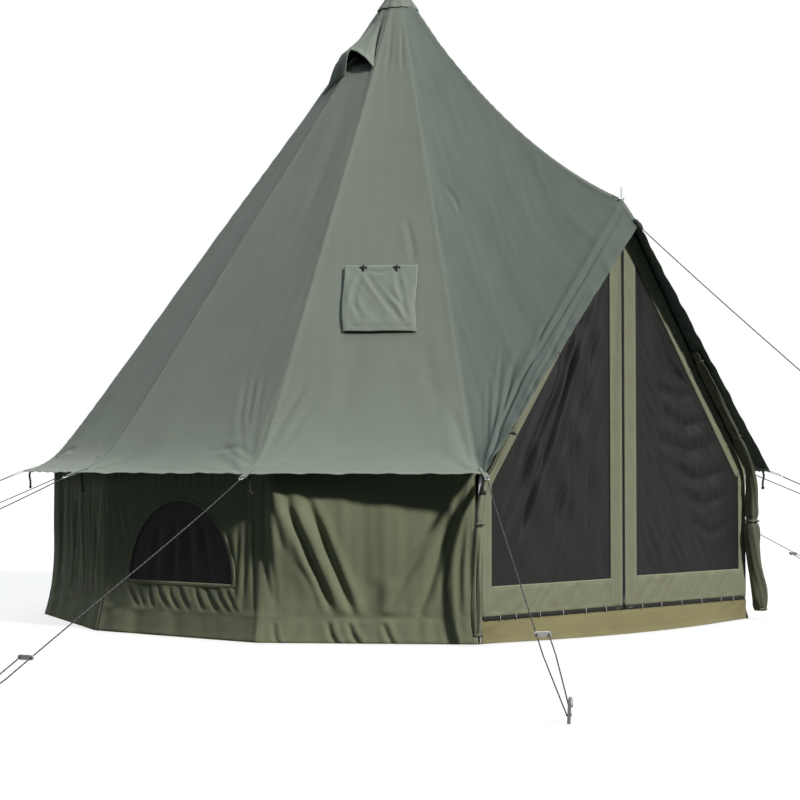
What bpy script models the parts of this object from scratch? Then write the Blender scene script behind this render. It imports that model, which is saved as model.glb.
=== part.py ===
"""A twelve-sided bell tent: canvas roof gores and low walls on a centre pole, a house-shaped
mesh door under a small hood on a bent door frame, a groundsheet, and guy ropes to their pegs.

Metres, +Z up. The origin is on the ground under the centre pole and the door faces -Y.
Angles round the tent are counted from the door, positive towards +X.
"""

import math

import bmesh
import bpy
from mathutils import Matrix, Vector

# Overall shape
SIDES = 12
STEP = 2 * math.pi / SIDES
FLOOR_RADIUS = 1.50
WALL_TOP_RADIUS = 1.465
EAVE_RADIUS = 1.594
EAVE_HEIGHT = 0.594
APEX_HEIGHT = 2.737
DOOR_Y = -1.30
PEAK_HEIGHT = 1.632
HOOD_Y = -1.385
HOOD_TIP_HEIGHT = 1.525

# Cloth
CANVAS = 0.002
MESH = 0.001
GAP = 0.0004
SEAM_GAP = 0.0004
VALLEY_GAP = 0.0016
GORE_SAG = 0.012
CAP_RADIUS = 0.092
CAP_LIFT = 0.0038
RIDGE_SAG = 0.12
FOLD_DEPTH = 0.012
FOLDS_A_PANEL = 3

# Roof seam, from the top of the gores to the eave: (radius, height)
SEAM_TOP = (0.035, 2.6846)
SEAM_SHOULDER = (0.28, 2.318)
SEAM_BREAK = (1.375, 0.768)
SEAM_FOLD = (1.461, 0.663)
SEAM_FLARE = (1.534, 0.615)
BREAK_ROW = 6
FOLD_ROW = 7
LAST_ROW = 9

# Wall, from under the roof to the ground: (radius, height)
WALL_LINE = [(1.465, 0.6567), (1.466, 0.42), (1.467, 0.20), (1.476, 0.11), (1.50, 0.004)]

# Windows: half-moon cut-outs in four wall panels
WINDOW_ANGLES = {"left": -75, "right": 75, "rear_left": -135, "rear_right": 135}
WINDOW_SILL = 0.19
WINDOW_HALF_WIDTH = 0.257
WINDOW_HEIGHT = 0.310

# Stove flap and jack on the left front gore, measured down the slope from its shoulder
STOVE_ANGLE = -45
STOVE_DOWN = 1.144
STOVE_FLAP = (0.280, 0.305)
STOVE_JACK = (0.235, 0.250)
TOGGLE_OFFSET = 0.064
TOGGLE_REACH = 0.012
TOGGLE_RADIUS = 0.004
PIPE_WAY = (0.14, 0.16)

# Vent high on the next gore, under a hood that reaches round the corner seam beside it
VENT_ANGLE = -75
VENT_WAY_DOWN = -0.075
VENT_WAY = (0.100, 0.062)
HOOD_ANGLE = -86
HOOD_TOP_HALF_ANGLE = 13
HOOD_LIP_HALF_ANGLE = 25
HOOD_TOP_ROW = 0.42
HOOD_LIP_ROW = 0.86
HOOD_END_ROW = 1.06
HOOD_RISE = 0.058
HOOD_LIFT = 0.004

# The outer doors' slanting rolls lie tucked under the hood, pressed thinner than where they hang
TUCKED_ROLL_SHARE = 0.74

# Door: one leaf a side, each folding along the line from the top of the zip to its outer corner
LEAF_TOP = 1.50
LEAF_BOTTOM = 0.095
LEAF_OUTER = 0.735
KNEE_HEIGHT = 0.602
ZIP_HALF_GAP = 0.006
ZIP_STRIP = 0.067
SIDE_STRIP = 0.045
SLANT_STRIP = 0.080
KICK_TOP = 0.190
FOLD_FOOT_HEIGHT = 0.100
FOLD_HALF_GAP = 0.0016

# Door frame and poles
FRAME_RADIUS = 0.011
FRAME_Y = -1.2835
FRAME_FOOT_X = 0.722
FRAME_KNEE_HEIGHT = 0.600
FRAME_PEAK_HEIGHT = 1.603
SOCKET_RADIUS = 0.0135
SOCKET_DEPTH = 0.045
POLE_RADIUS = 0.016
POLE_WALL = 0.0015
POLE_JOINT_HEIGHT = 1.360
SWAGE_LENGTH = 0.10
POLE_BORE_GAP = 0.0003

# Groundsheet
SHEET_THICKNESS = 0.002
SHEET_RADIUS = 1.486
SILL_HEIGHT = 0.080
SILL_BULGE = 0.090
SILL_HALF_WIDTH = 0.738
SILL_BACK = -1.287

# Guy ropes
ROPE_RADIUS = 0.002
STRAND_SPACING = 0.034
RUNNER_TRAVEL = 0.12
RUNNER_SIZE = (0.048, 0.015, 0.004)
RUNNER_HOLE = 0.0027
PEG_RADIUS = 0.0045
TAB_LENGTH = 0.034
TAB_WIDTH = 0.024
TIE_HEIGHT = 0.022
SAG_SHARE = 0.008

# Each guy: corner angle, peg place, how far along the runner sits, side of the return strand
GUYS = {
    "left_30": (-30, (-1.803, -2.735), 0.73, -1),
    "left_60": (-60, (-2.816, -1.600), 0.84, 1),
    "left_90": (-90, (-2.980, 0.060), 0.78, 1),
    "left_120": (-120, (-2.640, 1.530), 0.78, 1),
    "right_30": (30, (1.490, -2.570), 0.78, 1),
    "right_60": (60, (2.690, -1.550), 0.78, -1),
    "right_90": (90, (3.130, 0.0), 0.80, -1),
}
FRONT_PEG = (0.0, -3.300)
FRONT_RUNNER_SHARE = 0.80
CROPPED_GUY_ANGLE = -150
CROPPED_GUY_REACH = 0.50
CROPPED_GUY_DROP = 0.385
CORD_SIDES = 2

COLOURS = {
    "canvas_green": ((0.165, 0.190, 0.150), 0.85, 0.0),
    "canvas_khaki": ((0.260, 0.265, 0.175), 0.85, 0.0),
    "mesh_black": ((0.025, 0.025, 0.024), 0.70, 0.0),
    "groundsheet_tan": ((0.240, 0.215, 0.105), 0.45, 0.0),
    "steel": ((0.55, 0.56, 0.57), 0.35, 1.0),
    "rubber": ((0.03, 0.03, 0.03), 0.60, 0.0),
    "silicone": ((0.10, 0.10, 0.10), 0.50, 0.0),
    "zip_metal": ((0.06, 0.06, 0.06), 0.40, 0.6),
    "rope": ((0.16, 0.16, 0.15), 0.80, 0.0),
    "runner": ((0.80, 0.80, 0.78), 0.45, 0.0),
}


def clear_scene():
    for item in list(bpy.data.objects):
        bpy.data.objects.remove(item, do_unlink=True)


clear_scene()
tent = bpy.data.collections.new("bell_tent")
cutters = bpy.data.collections.new("cutters")
bpy.context.scene.collection.children.link(tent)
bpy.context.scene.collection.children.link(cutters)
materials = {}
for finish_name, (colour, roughness, metallic) in COLOURS.items():
    surface = bpy.data.materials.new(finish_name)
    surface.use_nodes = True
    shader = surface.node_tree.nodes["Principled BSDF"]
    shader.inputs["Base Color"].default_value = (*colour, 1.0)
    shader.inputs["Roughness"].default_value = roughness
    shader.inputs["Metallic"].default_value = metallic
    materials[finish_name] = surface


# Placing and finishing


def add(name, data, finish, collection=tent):
    """Links a new object, which shows unless it is a cutter."""
    thing = bpy.data.objects.new(name, data)
    collection.objects.link(thing)
    if finish:
        own = materials[finish].copy()
        own.name = name
        data.materials.append(own)
    if collection is cutters:
        thing.hide_render = True
        thing.display_type = "WIRE"
    return thing


def from_bmesh(name, bm, finish, collection=tent, smooth=True):
    bmesh.ops.recalc_face_normals(bm, faces=bm.faces)
    data = bpy.data.meshes.new(name)
    bm.to_mesh(data)
    bm.free()
    if smooth:
        data.shade_smooth()
        data.set_sharp_from_angle(angle=math.radians(35))
    return add(name, data, finish, collection)


def solidify(thing, thickness, offset=1.0):
    wall = thing.modifiers.new("Cloth thickness", "SOLIDIFY")
    wall.thickness = thickness
    wall.offset = offset
    wall.use_even_offset = True


def boolean(thing, other, operation):
    cut = thing.modifiers.new(operation.title(), "BOOLEAN")
    cut.operation = operation
    cut.solver = "EXACT"
    cut.object = other


def mesh_of(curve_object, name, finish, collection=tent):
    """The closed mesh of a curve object, which is then removed."""
    bpy.context.view_layer.update()
    graph = bpy.context.evaluated_depsgraph_get()
    data = bpy.data.meshes.new_from_object(curve_object.evaluated_get(graph))
    data.materials.clear()
    data.transform(curve_object.matrix_world)
    bm = bmesh.new()
    bm.from_mesh(data)
    bmesh.ops.remove_doubles(bm, verts=bm.verts, dist=1e-5)
    bpy.data.objects.remove(curve_object, do_unlink=True)
    return from_bmesh(name, bm, finish, collection)


def tube(name, points, radius, finish, swell=None, collection=tent, sides=CORD_SIDES):
    """A POLY curve tube with filled caps; swell gives point numbers a multiple of the radius."""
    data = bpy.data.curves.new(name, "CURVE")
    data.dimensions = "3D"
    data.bevel_depth = radius
    data.bevel_resolution = sides
    data.use_fill_caps = True
    spline = data.splines.new("POLY")
    spline.points.add(len(points) - 1)
    for number, (point, place) in enumerate(zip(spline.points, points)):
        point.co = (*place, 1.0)
        point.radius = (swell or {}).get(number, 1.0)
    return add(name, data, finish, collection)


def plate(name, outline, thickness, finish):
    """An upright plate in the door plane from an (x, z) outline."""
    data = bpy.data.curves.new(name, "CURVE")
    data.dimensions = "2D"
    data.fill_mode = "BOTH"
    data.extrude = thickness / 2
    spline = data.splines.new("POLY")
    spline.points.add(len(outline) - 1)
    spline.use_cyclic_u = True
    for point, (x, z) in zip(spline.points, outline):
        point.co = (x, z, 0.0, 1.0)
    thing = add(name, data, finish)
    thing.location = (0.0, DOOR_Y, 0.0)
    thing.rotation_euler = (math.pi / 2, 0.0, 0.0)
    return thing


def turned(name, outline, finish, segments=24):
    """A turned solid from (radius, height) points that run down its outer side."""
    bm = bmesh.new()
    corners = [bm.verts.new((r, 0.0, z)) for r, z in outline]
    for first, second in zip(corners, corners[1:]):
        bm.edges.new((first, second))
    if outline[0][0] > 0:
        bm.edges.new((corners[-1], corners[0]))
    data = bpy.data.meshes.new(name)
    bm.to_mesh(data)
    bm.free()
    thing = add(name, data, finish)
    screw = thing.modifiers.new("Turned", "SCREW")
    screw.steps = segments
    screw.render_steps = segments
    screw.use_merge_vertices = True
    screw.merge_threshold = 0.0001
    return thing


def at(angle, radius, height):
    """A point of the tent from its angle round from the door, in radians."""
    return Vector((radius * math.sin(angle), -radius * math.cos(angle), height))


def sheet(name, columns, rows, place, thickness, finish, outwards):
    """A cloth laid over a grid by place(column, row) and thickened towards outwards."""
    bm = bmesh.new()
    bmesh.ops.create_grid(bm, x_segments=columns, y_segments=rows, size=0.5)
    for vert in bm.verts:
        vert.co = place(round((vert.co.x + 0.5) * columns), round((vert.co.y + 0.5) * rows))
    bm.normal_update()
    lean = sum((face.normal * face.calc_area() for face in bm.faces), Vector())
    if lean.dot(outwards) < 0:
        bmesh.ops.reverse_faces(bm, faces=bm.faces)
    data = bpy.data.meshes.new(name)
    bm.to_mesh(data)
    bm.free()
    data.shade_smooth()
    data.set_sharp_from_angle(angle=math.radians(20))
    thing = add(name, data, finish)
    solidify(thing, thickness)
    return thing


# Roof


def lerp(first, second, share):
    return tuple(a + (b - a) * share for a, b in zip(first, second))


def seam_profile():
    """(radius, height) of a corner seam at each row: near straight, then flaring at the eave."""
    slope = [lerp(SEAM_SHOULDER, SEAM_BREAK, row / (BREAK_ROW - 1)) for row in range(BREAK_ROW)]
    return [SEAM_TOP, *slope, SEAM_FOLD, SEAM_FLARE, (EAVE_RADIUS, EAVE_HEIGHT)]


def seam_at(row):
    """(radius, height) of a corner seam between two rows."""
    low = int(row)
    return lerp(SEAM[low], SEAM[low + 1], row - low)


def ridge_profile():
    """(distance in front of the pole, height) of the ridge over the door at each row."""
    rows = []
    for row in range(FOLD_ROW + 1):
        share = row / FOLD_ROW
        reach, height = lerp(SEAM_TOP, (-DOOR_Y, PEAK_HEIGHT), share)
        rows.append((reach, height - RIDGE_SAG * 4 * share * (1 - share)))
    tip = (-HOOD_Y, HOOD_TIP_HEIGHT)
    middle = lerp(rows[FOLD_ROW], tip, 0.5)
    return [*rows, middle, tip]


SEAM = seam_profile()
RIDGE = ridge_profile()
SLOPE_RUN = SEAM_BREAK[0] - SEAM_SHOULDER[0]
SLOPE_DROP = SEAM_SHOULDER[1] - SEAM_BREAK[1]
SLOPE_LENGTH = math.hypot(SLOPE_RUN, SLOPE_DROP)


def on_gore(start, share, row):
    """A point on the gore that starts at angle start: hollow between its seams, down to the fold."""
    radius, height = SEAM[row]
    point = at(start, radius, height).lerp(at(start + STEP, radius, height), share)
    hollow = GORE_SAG * 4 * share * (1 - share) * math.sin(math.pi * min(row / FOLD_ROW, 1.0))
    return point - at(start + STEP / 2, SLOPE_DROP, SLOPE_RUN) * (hollow / SLOPE_LENGTH)


def roof_pair(name, first, columns=4):
    """Two gores sewn together at the corner between them, clear of their neighbours' seams."""
    start = math.radians(first)

    def place(column, row):
        gore = min(column // columns, 1)
        share = column / columns - gore
        inset = SEAM_GAP / (2 * SEAM[row][0] * math.sin(STEP / 2))
        share += inset * (1 - share) if gore == 0 else -inset * share
        return on_gore(start + gore * STEP, share, row)

    return sheet(name, 2 * columns, LAST_ROW, place, CANVAS, "canvas_green", at(start + STEP, 1, 0.5))


def roof_front(name, side, columns=5):
    """The gore beside the door: from its corner seam to the ridge over the door."""

    def place(column, row):
        share = column / columns
        radius, height = SEAM[row]
        reach, rise = RIDGE[row]
        valley = VALLEY_GAP if row >= FOLD_ROW else 0.0
        inset = (SEAM_GAP + valley) / (radius * math.sin(STEP))
        corner = at(side * STEP, radius, height)
        ridge = Vector((0.0, -reach, rise))
        return corner.lerp(ridge, inset + share * (1 - 2 * inset))

    return sheet(name, columns, LAST_ROW, place, CANVAS, "canvas_green", Vector((side * 0.3, -1, 1)))


def tab(angle, shift=0.0):
    """An eyelet tab at an eave corner, as a guide that is joined to its gore."""
    bm = bmesh.new()
    bmesh.ops.create_cube(bm, size=1.0)
    bmesh.ops.scale(bm, verts=bm.verts, vec=(TAB_WIDTH, TAB_LENGTH + 0.012, CANVAS + 0.001))
    bmesh.ops.translate(bm, verts=bm.verts, vec=(shift, -(TAB_LENGTH - 0.012) / 2, 0.0012))
    slope = math.atan2(SEAM_FLARE[1] - EAVE_HEIGHT, EAVE_RADIUS - SEAM_FLARE[0])
    turn = Matrix.Rotation(angle, 4, "Z") @ Matrix.Rotation(slope, 4, "X")
    corner = Matrix.Translation(at(angle, EAVE_RADIUS, EAVE_HEIGHT))
    bmesh.ops.transform(bm, verts=bm.verts, matrix=corner @ turn)
    return from_bmesh(f"tab_{round(math.degrees(angle))}", bm, None, cutters, smooth=False)


def upright_cutter(name, x, y, low, high, radius):
    bm = bmesh.new()
    bmesh.ops.create_cone(bm, cap_ends=True, segments=16, radius1=radius, radius2=radius, depth=high - low)
    bmesh.ops.translate(bm, verts=bm.verts, vec=(x, y, (low + high) / 2))
    return from_bmesh(name, bm, None, cutters)


def slope_frame(angle, down):
    """Axes of the gore at angle: across, down the slope and out, at a distance down from its shoulder."""
    middle = math.radians(angle)
    across = Vector((math.cos(middle), math.sin(middle), 0.0))
    radius, height = lerp(SEAM_SHOULDER, SEAM_BREAK, down / SLOPE_LENGTH)
    place = at(middle, radius * math.cos(STEP / 2), height)
    fall = at(middle, SLOPE_RUN * math.cos(STEP / 2), -SLOPE_DROP).normalized()
    out = fall.cross(across)
    if out.z < 0:
        out = -out
    return Matrix((across, fall, out)).transposed().to_4x4(), place


def slope_box(name, angle, down, size, heights, finish, collection=tent):
    """A flat piece lying on a gore: from its top edge down, between two heights off the cloth."""
    turn, place = slope_frame(angle, down)
    width, length = size
    low, high = heights
    bm = bmesh.new()
    bmesh.ops.create_cube(bm, size=1.0)
    bmesh.ops.scale(bm, verts=bm.verts, vec=(width, length, high - low))
    bmesh.ops.translate(bm, verts=bm.verts, vec=(0, length / 2, (low + high) / 2))
    bmesh.ops.transform(bm, verts=bm.verts, matrix=Matrix.Translation(place) @ turn)
    return from_bmesh(name, bm, finish, collection, smooth=False)


def make_roof():
    pairs = {
        "roof_left_front": -90,
        "roof_left_rear": -150,
        "roof_rear": 150,
        "roof_right_rear": 90,
        "roof_right_front": 30,
    }
    for name, first in pairs.items():
        panel = roof_pair(name, first)
        boolean(panel, tab(math.radians(first) + STEP), "UNION")
        boolean(panel, tab(math.radians(first), TAB_WIDTH / 2 + GAP), "UNION")
        if name == "roof_left_front":
            boolean(panel, tab(math.radians(-30), -TAB_WIDTH / 2 - GAP), "UNION")
            down = STOVE_DOWN + 0.06
            pipe = slope_box("pipe_way", STOVE_ANGLE, down, PIPE_WAY, (-0.05, 0.05), None, cutters)
            boolean(panel, pipe, "DIFFERENCE")
            air = slope_box("vent_way", VENT_ANGLE, VENT_WAY_DOWN, VENT_WAY, (-0.04, 0.04), None, cutters)
            boolean(panel, air, "DIFFERENCE")
    pin = upright_cutter("spigot_way", 0.0, DOOR_Y, 1.5, 1.8, 0.0045)
    for name, side in (("roof_front_left", -1), ("roof_front_right", 1)):
        boolean(roof_front(name, side), pin, "DIFFERENCE")
    make_cap()


def make_cap():
    """The short cap over the tops of the gores, following the seams and the ridge."""
    rows = 3
    bm = bmesh.new()
    run = SEAM[1][0] - SEAM[0][0]
    lift = CAP_LIFT * math.hypot(run, SEAM[0][1] - SEAM[1][1]) / run
    tip = bm.verts.new((0.0, 0.0, APEX_HEIGHT + lift))
    rings = []
    for row in range(1, rows + 1):
        ring = []
        for corner in range(SIDES):
            radius = CAP_RADIUS * row / rows
            line = RIDGE if corner == 0 else SEAM
            (r1, z1), (r2, z2) = line[0], line[1]
            height = z1 + (z2 - z1) * (radius - r1) / (r2 - r1)
            ring.append(bm.verts.new(at(corner * STEP, radius, height + lift)))
        rings.append(ring)
    for number in range(SIDES):
        after = (number + 1) % SIDES
        bm.faces.new((tip, rings[0][number], rings[0][after]))
        for upper, lower in zip(rings, rings[1:]):
            bm.faces.new((upper[number], lower[number], lower[after], upper[after]))
    thing = from_bmesh("roof_cap", bm, "canvas_green", smooth=False)
    solidify(thing, CANVAS)


def make_stove_and_vent():
    flap = slope_box("stove_flap", STOVE_ANGLE, STOVE_DOWN, STOVE_FLAP, (0.0062, 0.0084), "canvas_green")
    turn, place = slope_frame(STOVE_ANGLE, STOVE_DOWN + 0.012)
    for side in (-1, 1):
        start = place + turn @ Vector((side * TOGGLE_OFFSET - TOGGLE_REACH, 0, 0.011))
        end = place + turn @ Vector((side * TOGGLE_OFFSET + TOGGLE_REACH, 0, 0.011))
        toggle = tube("toggle", [start, end], TOGGLE_RADIUS, None)
        boolean(flap, mesh_of(toggle, f"toggle_{side}", None, cutters), "UNION")
    slope_box("stove_jack", STOVE_ANGLE, STOVE_DOWN + 0.02, STOVE_JACK, (0.0032, 0.0056), "silicone")
    pane = (VENT_WAY[0] - 2 * GAP, VENT_WAY[1] - 2 * GAP)
    slope_box("vent_mesh", VENT_ANGLE, VENT_WAY_DOWN + GAP, pane, (-0.0015, -0.0005), "mesh_black")

    def place(column, row):
        across = column / 4 - 1
        down = row / 4
        arch = 1 - abs(across) ** 1.6
        lip = HOOD_LIP_ROW + (HOOD_END_ROW - HOOD_LIP_ROW) * (1 - arch)
        half = HOOD_TOP_HALF_ANGLE + (HOOD_LIP_HALF_ANGLE - HOOD_TOP_HALF_ANGLE) * down
        radius, height = seam_at(HOOD_TOP_ROW + (lip - HOOD_TOP_ROW) * down)
        angle = math.radians(HOOD_ANGLE + half * across)
        rise = HOOD_LIFT + HOOD_RISE * arch * down**1.3
        return at(angle, radius, height) + at(angle, SLOPE_DROP, SLOPE_RUN) * (rise / SLOPE_LENGTH)

    sheet("vent_hood", 8, 4, place, CANVAS, "canvas_green", at(math.radians(HOOD_ANGLE), 1, 0.3))


# Walls and windows


def on_wall(start, share, row, flat):
    """A point of a wall panel, which hangs in upright folds unless a window keeps it flat."""
    radius, height = WALL_LINE[row]
    point = at(start, radius, height).lerp(at(start + STEP, radius, height), share)
    if flat:
        return point
    drop = 1 - height / WALL_LINE[0][1]
    fullness = math.sin(math.pi * (0.1 + 0.8 * drop)) * drop**0.5 * math.sin(math.pi * share)
    wave = math.sin(2 * math.pi * FOLDS_A_PANEL * share + 5 * start)
    return point + at(start + STEP / 2, FOLD_DEPTH * wave * fullness, 0)


def wall_pair(name, first, flats, columns=9):
    start = math.radians(first)

    def place(column, row):
        panel = min(column // columns, 1)
        share = column / columns - panel
        edge = SEAM_GAP / (2 * FLOOR_RADIUS * math.sin(STEP / 2))
        share += edge * (1 - share) if panel == 0 else -edge * share
        return on_wall(start + panel * STEP, share, row, flats[panel])

    return sheet(name, 2 * columns, len(WALL_LINE) - 1, place, CANVAS, "canvas_green", at(start + STEP, 1, 0))


def half_moon(name, angle, shrink):
    """A prism of the window's outline, from well inside the wall to well outside it."""
    middle = math.radians(angle)
    width, height = WINDOW_HALF_WIDTH - shrink, WINDOW_HEIGHT - 2 * shrink
    bm = bmesh.new()
    bmesh.ops.create_circle(bm, cap_ends=True, radius=1.0, segments=28)
    bmesh.ops.bisect_plane(
        bm, geom=[*bm.verts, *bm.edges, *bm.faces], plane_co=(0, 0, 0), plane_no=(0, -1, 0), clear_outer=True
    )
    bmesh.ops.scale(bm, verts=bm.verts, vec=(width, height, 1.0))
    bmesh.ops.translate(bm, verts=bm.verts, vec=(0, 0, -0.05))
    rim = bmesh.ops.extrude_face_region(bm, geom=list(bm.faces))
    moved = [item for item in rim["geom"] if isinstance(item, bmesh.types.BMVert)]
    bmesh.ops.translate(bm, verts=moved, vec=(0, 0, 0.10))
    stand = Matrix.Rotation(middle, 4, "Z") @ Matrix.Rotation(math.pi / 2, 4, "X")
    centre = at(middle, WALL_LINE[1][0] * math.cos(STEP / 2), WINDOW_SILL + shrink)
    bmesh.ops.transform(bm, verts=bm.verts, matrix=Matrix.Translation(centre) @ stand)
    return from_bmesh(name, bm, None, cutters)


def make_walls():
    walls = {
        "wall_left_front": (-90, (True, False), ["left"]),
        "wall_left_rear": (-150, (True, False), ["rear_left"]),
        "wall_rear": (150, (False, False), []),
        "wall_right_rear": (90, (False, True), ["rear_right"]),
        "wall_right_front": (30, (False, True), ["right"]),
    }
    for name, (first, flats, windows) in walls.items():
        wall = wall_pair(name, first, flats)
        for window in windows:
            boolean(wall, half_moon(f"{window}_window_way", WINDOW_ANGLES[window], 0.0), "DIFFERENCE")
    for window, angle in WINDOW_ANGLES.items():
        start = math.radians(angle) - STEP / 2

        def place(column, row, start=start):
            height = WINDOW_SILL - 0.02 + (WINDOW_HEIGHT + 0.04) * row
            radius = wall_radius(height)
            return at(start, radius, height).lerp(at(start + STEP, radius, height), 0.1 + 0.8 * column)

        pane = sheet(f"window_mesh_{window}", 1, 1, place, MESH, "mesh_black", at(math.radians(angle), 1, 0))
        boolean(pane, half_moon(f"{window}_pane_edge", angle, GAP), "INTERSECT")


def wall_radius(height):
    """The wall's corner radius at a height."""
    for (r1, z1), (r2, z2) in zip(WALL_LINE, WALL_LINE[1:]):
        if z2 <= height <= z1:
            return r1 + (r2 - r1) * (z1 - height) / (z1 - z2)
    return WALL_LINE[-1][0]


# Groundsheet


def make_groundsheet():
    outline = [at(STEP * (1 + number), SHEET_RADIUS, 0) for number in range(SIDES - 1)]
    arc = 8
    for number in range(1, arc):
        x = -SILL_HALF_WIDTH + 2 * SILL_HALF_WIDTH * number / arc
        bulge = (SILL_BULGE + 0.016) * math.cos(math.pi * x / (2 * SILL_HALF_WIDTH))
        outline.append(Vector((x, SILL_BACK - bulge, 0)))
    bm = bmesh.new()
    floor = bm.faces.new([bm.verts.new(point) for point in outline])
    rim = bmesh.ops.extrude_face_region(bm, geom=[floor])
    raised = [item for item in rim["geom"] if isinstance(item, bmesh.types.BMVert)]
    bmesh.ops.translate(bm, verts=raised, vec=(0, 0, SHEET_THICKNESS))
    from_bmesh("groundsheet", bm, "groundsheet_tan", smooth=False)

    def place(column, row):
        x = SILL_HALF_WIDTH * (column / 8 * 2 - 1)
        rise = row / 3
        foot = SHEET_THICKNESS + 0.0006
        bulge = SILL_BULGE * math.cos(math.pi * x / (2 * SILL_HALF_WIDTH)) * (1 - rise) ** 1.4
        return Vector((x, DOOR_Y + 0.001 - bulge, foot + (SILL_HEIGHT - foot) * rise))

    sheet("door_sill", 8, 3, place, SHEET_THICKNESS, "groundsheet_tan", Vector((0, -1, 0.2)))


# Door


def on_fold(height, side_gap):
    """x on a leaf's fold line at a height, moved out by side_gap square to the line."""
    run = LEAF_TOP - FOLD_FOOT_HEIGHT
    length = math.hypot(LEAF_OUTER, run)
    return (LEAF_TOP - height) * LEAF_OUTER / run + side_gap * length / run


def fold_height(x, side_gap):
    """The height on a leaf's fold line at x, the line moved out by side_gap."""
    run = LEAF_TOP - FOLD_FOOT_HEIGHT
    length = math.hypot(LEAF_OUTER, run)
    return LEAF_TOP - (x - side_gap * length / run) * run / LEAF_OUTER


def make_door(side):
    word = "left" if side < 0 else "right"
    slant = (LEAF_OUTER - 0.0723) / (LEAF_TOP - KNEE_HEIGHT)
    strip_in = ZIP_HALF_GAP + ZIP_STRIP
    side_in = LEAF_OUTER - SIDE_STRIP
    slant_drop = SLANT_STRIP * math.hypot(1.0, 1.0 / slant)

    def slant_height(x, drop):
        return KNEE_HEIGHT + (LEAF_OUTER - x) / slant - drop

    inner, outer = -FOLD_HALF_GAP, FOLD_HALF_GAP
    swing_border = [
        (ZIP_HALF_GAP, LEAF_BOTTOM),
        (LEAF_OUTER - 0.004, LEAF_BOTTOM),
        (on_fold(KICK_TOP, inner), KICK_TOP),
        (strip_in, KICK_TOP),
        (strip_in, fold_height(strip_in, inner)),
        (ZIP_HALF_GAP, fold_height(ZIP_HALF_GAP, inner)),
    ]
    swing_mesh = [
        (strip_in + GAP, KICK_TOP + GAP),
        (on_fold(KICK_TOP + GAP, inner), KICK_TOP + GAP),
        (strip_in + GAP, fold_height(strip_in + GAP, inner)),
    ]
    still_border = [
        (ZIP_HALF_GAP, LEAF_TOP),
        (0.0723, LEAF_TOP),
        (LEAF_OUTER, KNEE_HEIGHT),
        (LEAF_OUTER, fold_height(LEAF_OUTER, outer)),
        (side_in, fold_height(side_in, outer)),
        (side_in, slant_height(side_in, slant_drop)),
        (strip_in + 0.004, fold_height(strip_in + 0.004, outer) + 0.004),
        (strip_in + 0.004, fold_height(strip_in + 0.004, outer)),
        (ZIP_HALF_GAP, fold_height(ZIP_HALF_GAP, outer)),
    ]
    still_mesh = [
        (side_in - GAP, fold_height(side_in - GAP, outer)),
        (side_in - GAP, slant_height(side_in, slant_drop) - 0.001),
        (strip_in + 0.004 + 2 * GAP, fold_height(strip_in + 0.004 + 2 * GAP, outer) + 0.001),
        (strip_in + 0.004 + 2 * GAP, fold_height(strip_in + 0.004 + 2 * GAP, outer)),
    ]
    for name, outline, thickness, finish in (
        (f"door_flap_{word}", swing_border, CANVAS, "canvas_khaki"),
        (f"door_mesh_{word}", swing_mesh, MESH, "mesh_black"),
        (f"door_side_{word}", still_border, CANVAS, "canvas_khaki"),
        (f"door_side_mesh_{word}", still_mesh, MESH, "mesh_black"),
    ):
        plate(name, [(side * x, z) for x, z in outline], thickness, finish)


def make_rolled_door(side):
    """The outer canvas door, rolled and tied along the frame's slant and down the corner."""
    if side < 0:
        word, corner = "left", [0.752, 0.776, 0.786, 0.789, 0.789, 0.789]
    else:
        word, corner = "right", [0.734, 0.738, 0.742, 0.757, 0.785, 0.790]
    slant = [(0.375, 1.066), (0.391, 1.046), (0.478, 0.935), (0.563, 0.825), (0.650, 0.712), (0.708, 0.622)]
    heights = [0.540, 0.450, 0.340, 0.230, 0.125, 0.040]
    points = [Vector((side * x, -1.337, z)) for x, z in slant]
    points += [Vector((side * x, -1.340, z)) for x, z in zip(corner, heights)]
    fullness = [0.35, 0.75, 1.0, 0.92, 1.0, 0.94, 0.86, 0.95, 1.02, 0.9, 1.02, 0.95]
    swell = {n: share * (TUCKED_ROLL_SHARE if n < len(slant) else 1.0) for n, share in enumerate(fullness)}
    tube(f"rolled_door_{word}", points, 0.027, "canvas_khaki", swell, sides=3)


def make_zip_sliders():
    """Three zip sliders with their pulls: one on the centre zip and one on each half of the sill zip."""

    def slider(name, place, half_x, half_z, pull):
        bm = bmesh.new()
        bmesh.ops.create_cube(bm, size=1.0)
        bmesh.ops.scale(bm, verts=bm.verts, vec=(2 * half_x, 0.007, 2 * half_z))
        bmesh.ops.bevel(
            bm, geom=bm.edges, offset=0.0012, offset_type="OFFSET", segments=2, profile=0.5,
            affect="EDGES", material=-1,
        )
        bmesh.ops.translate(bm, verts=bm.verts, vec=place)
        body = from_bmesh(name, bm, "zip_metal")
        bm = bmesh.new()
        bmesh.ops.create_cube(bm, size=1.0)
        bmesh.ops.scale(bm, verts=bm.verts, vec=pull)
        corner = Vector(place) + Vector((0, -0.0042, half_z - pull[2] / 2))
        if pull[0] > pull[2]:
            corner = Vector(place) + Vector((0, -0.0042, 0))
        bmesh.ops.translate(bm, verts=bm.verts, vec=corner)
        boolean(body, from_bmesh(f"{name}_pull", bm, None, cutters, smooth=False), "UNION")

    slider("zip_slider_centre", (0.0, DOOR_Y - 0.0015, 0.116), 0.0048, 0.012, (0.006, 0.0018, 0.024))
    for word, side in (("left", -1), ("right", 1)):
        place = (side * 0.034, DOOR_Y - 0.0015, 0.0876)
        slider(f"zip_slider_{word}", place, 0.012, 0.0042, (0.022, 0.0018, 0.006))


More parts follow.
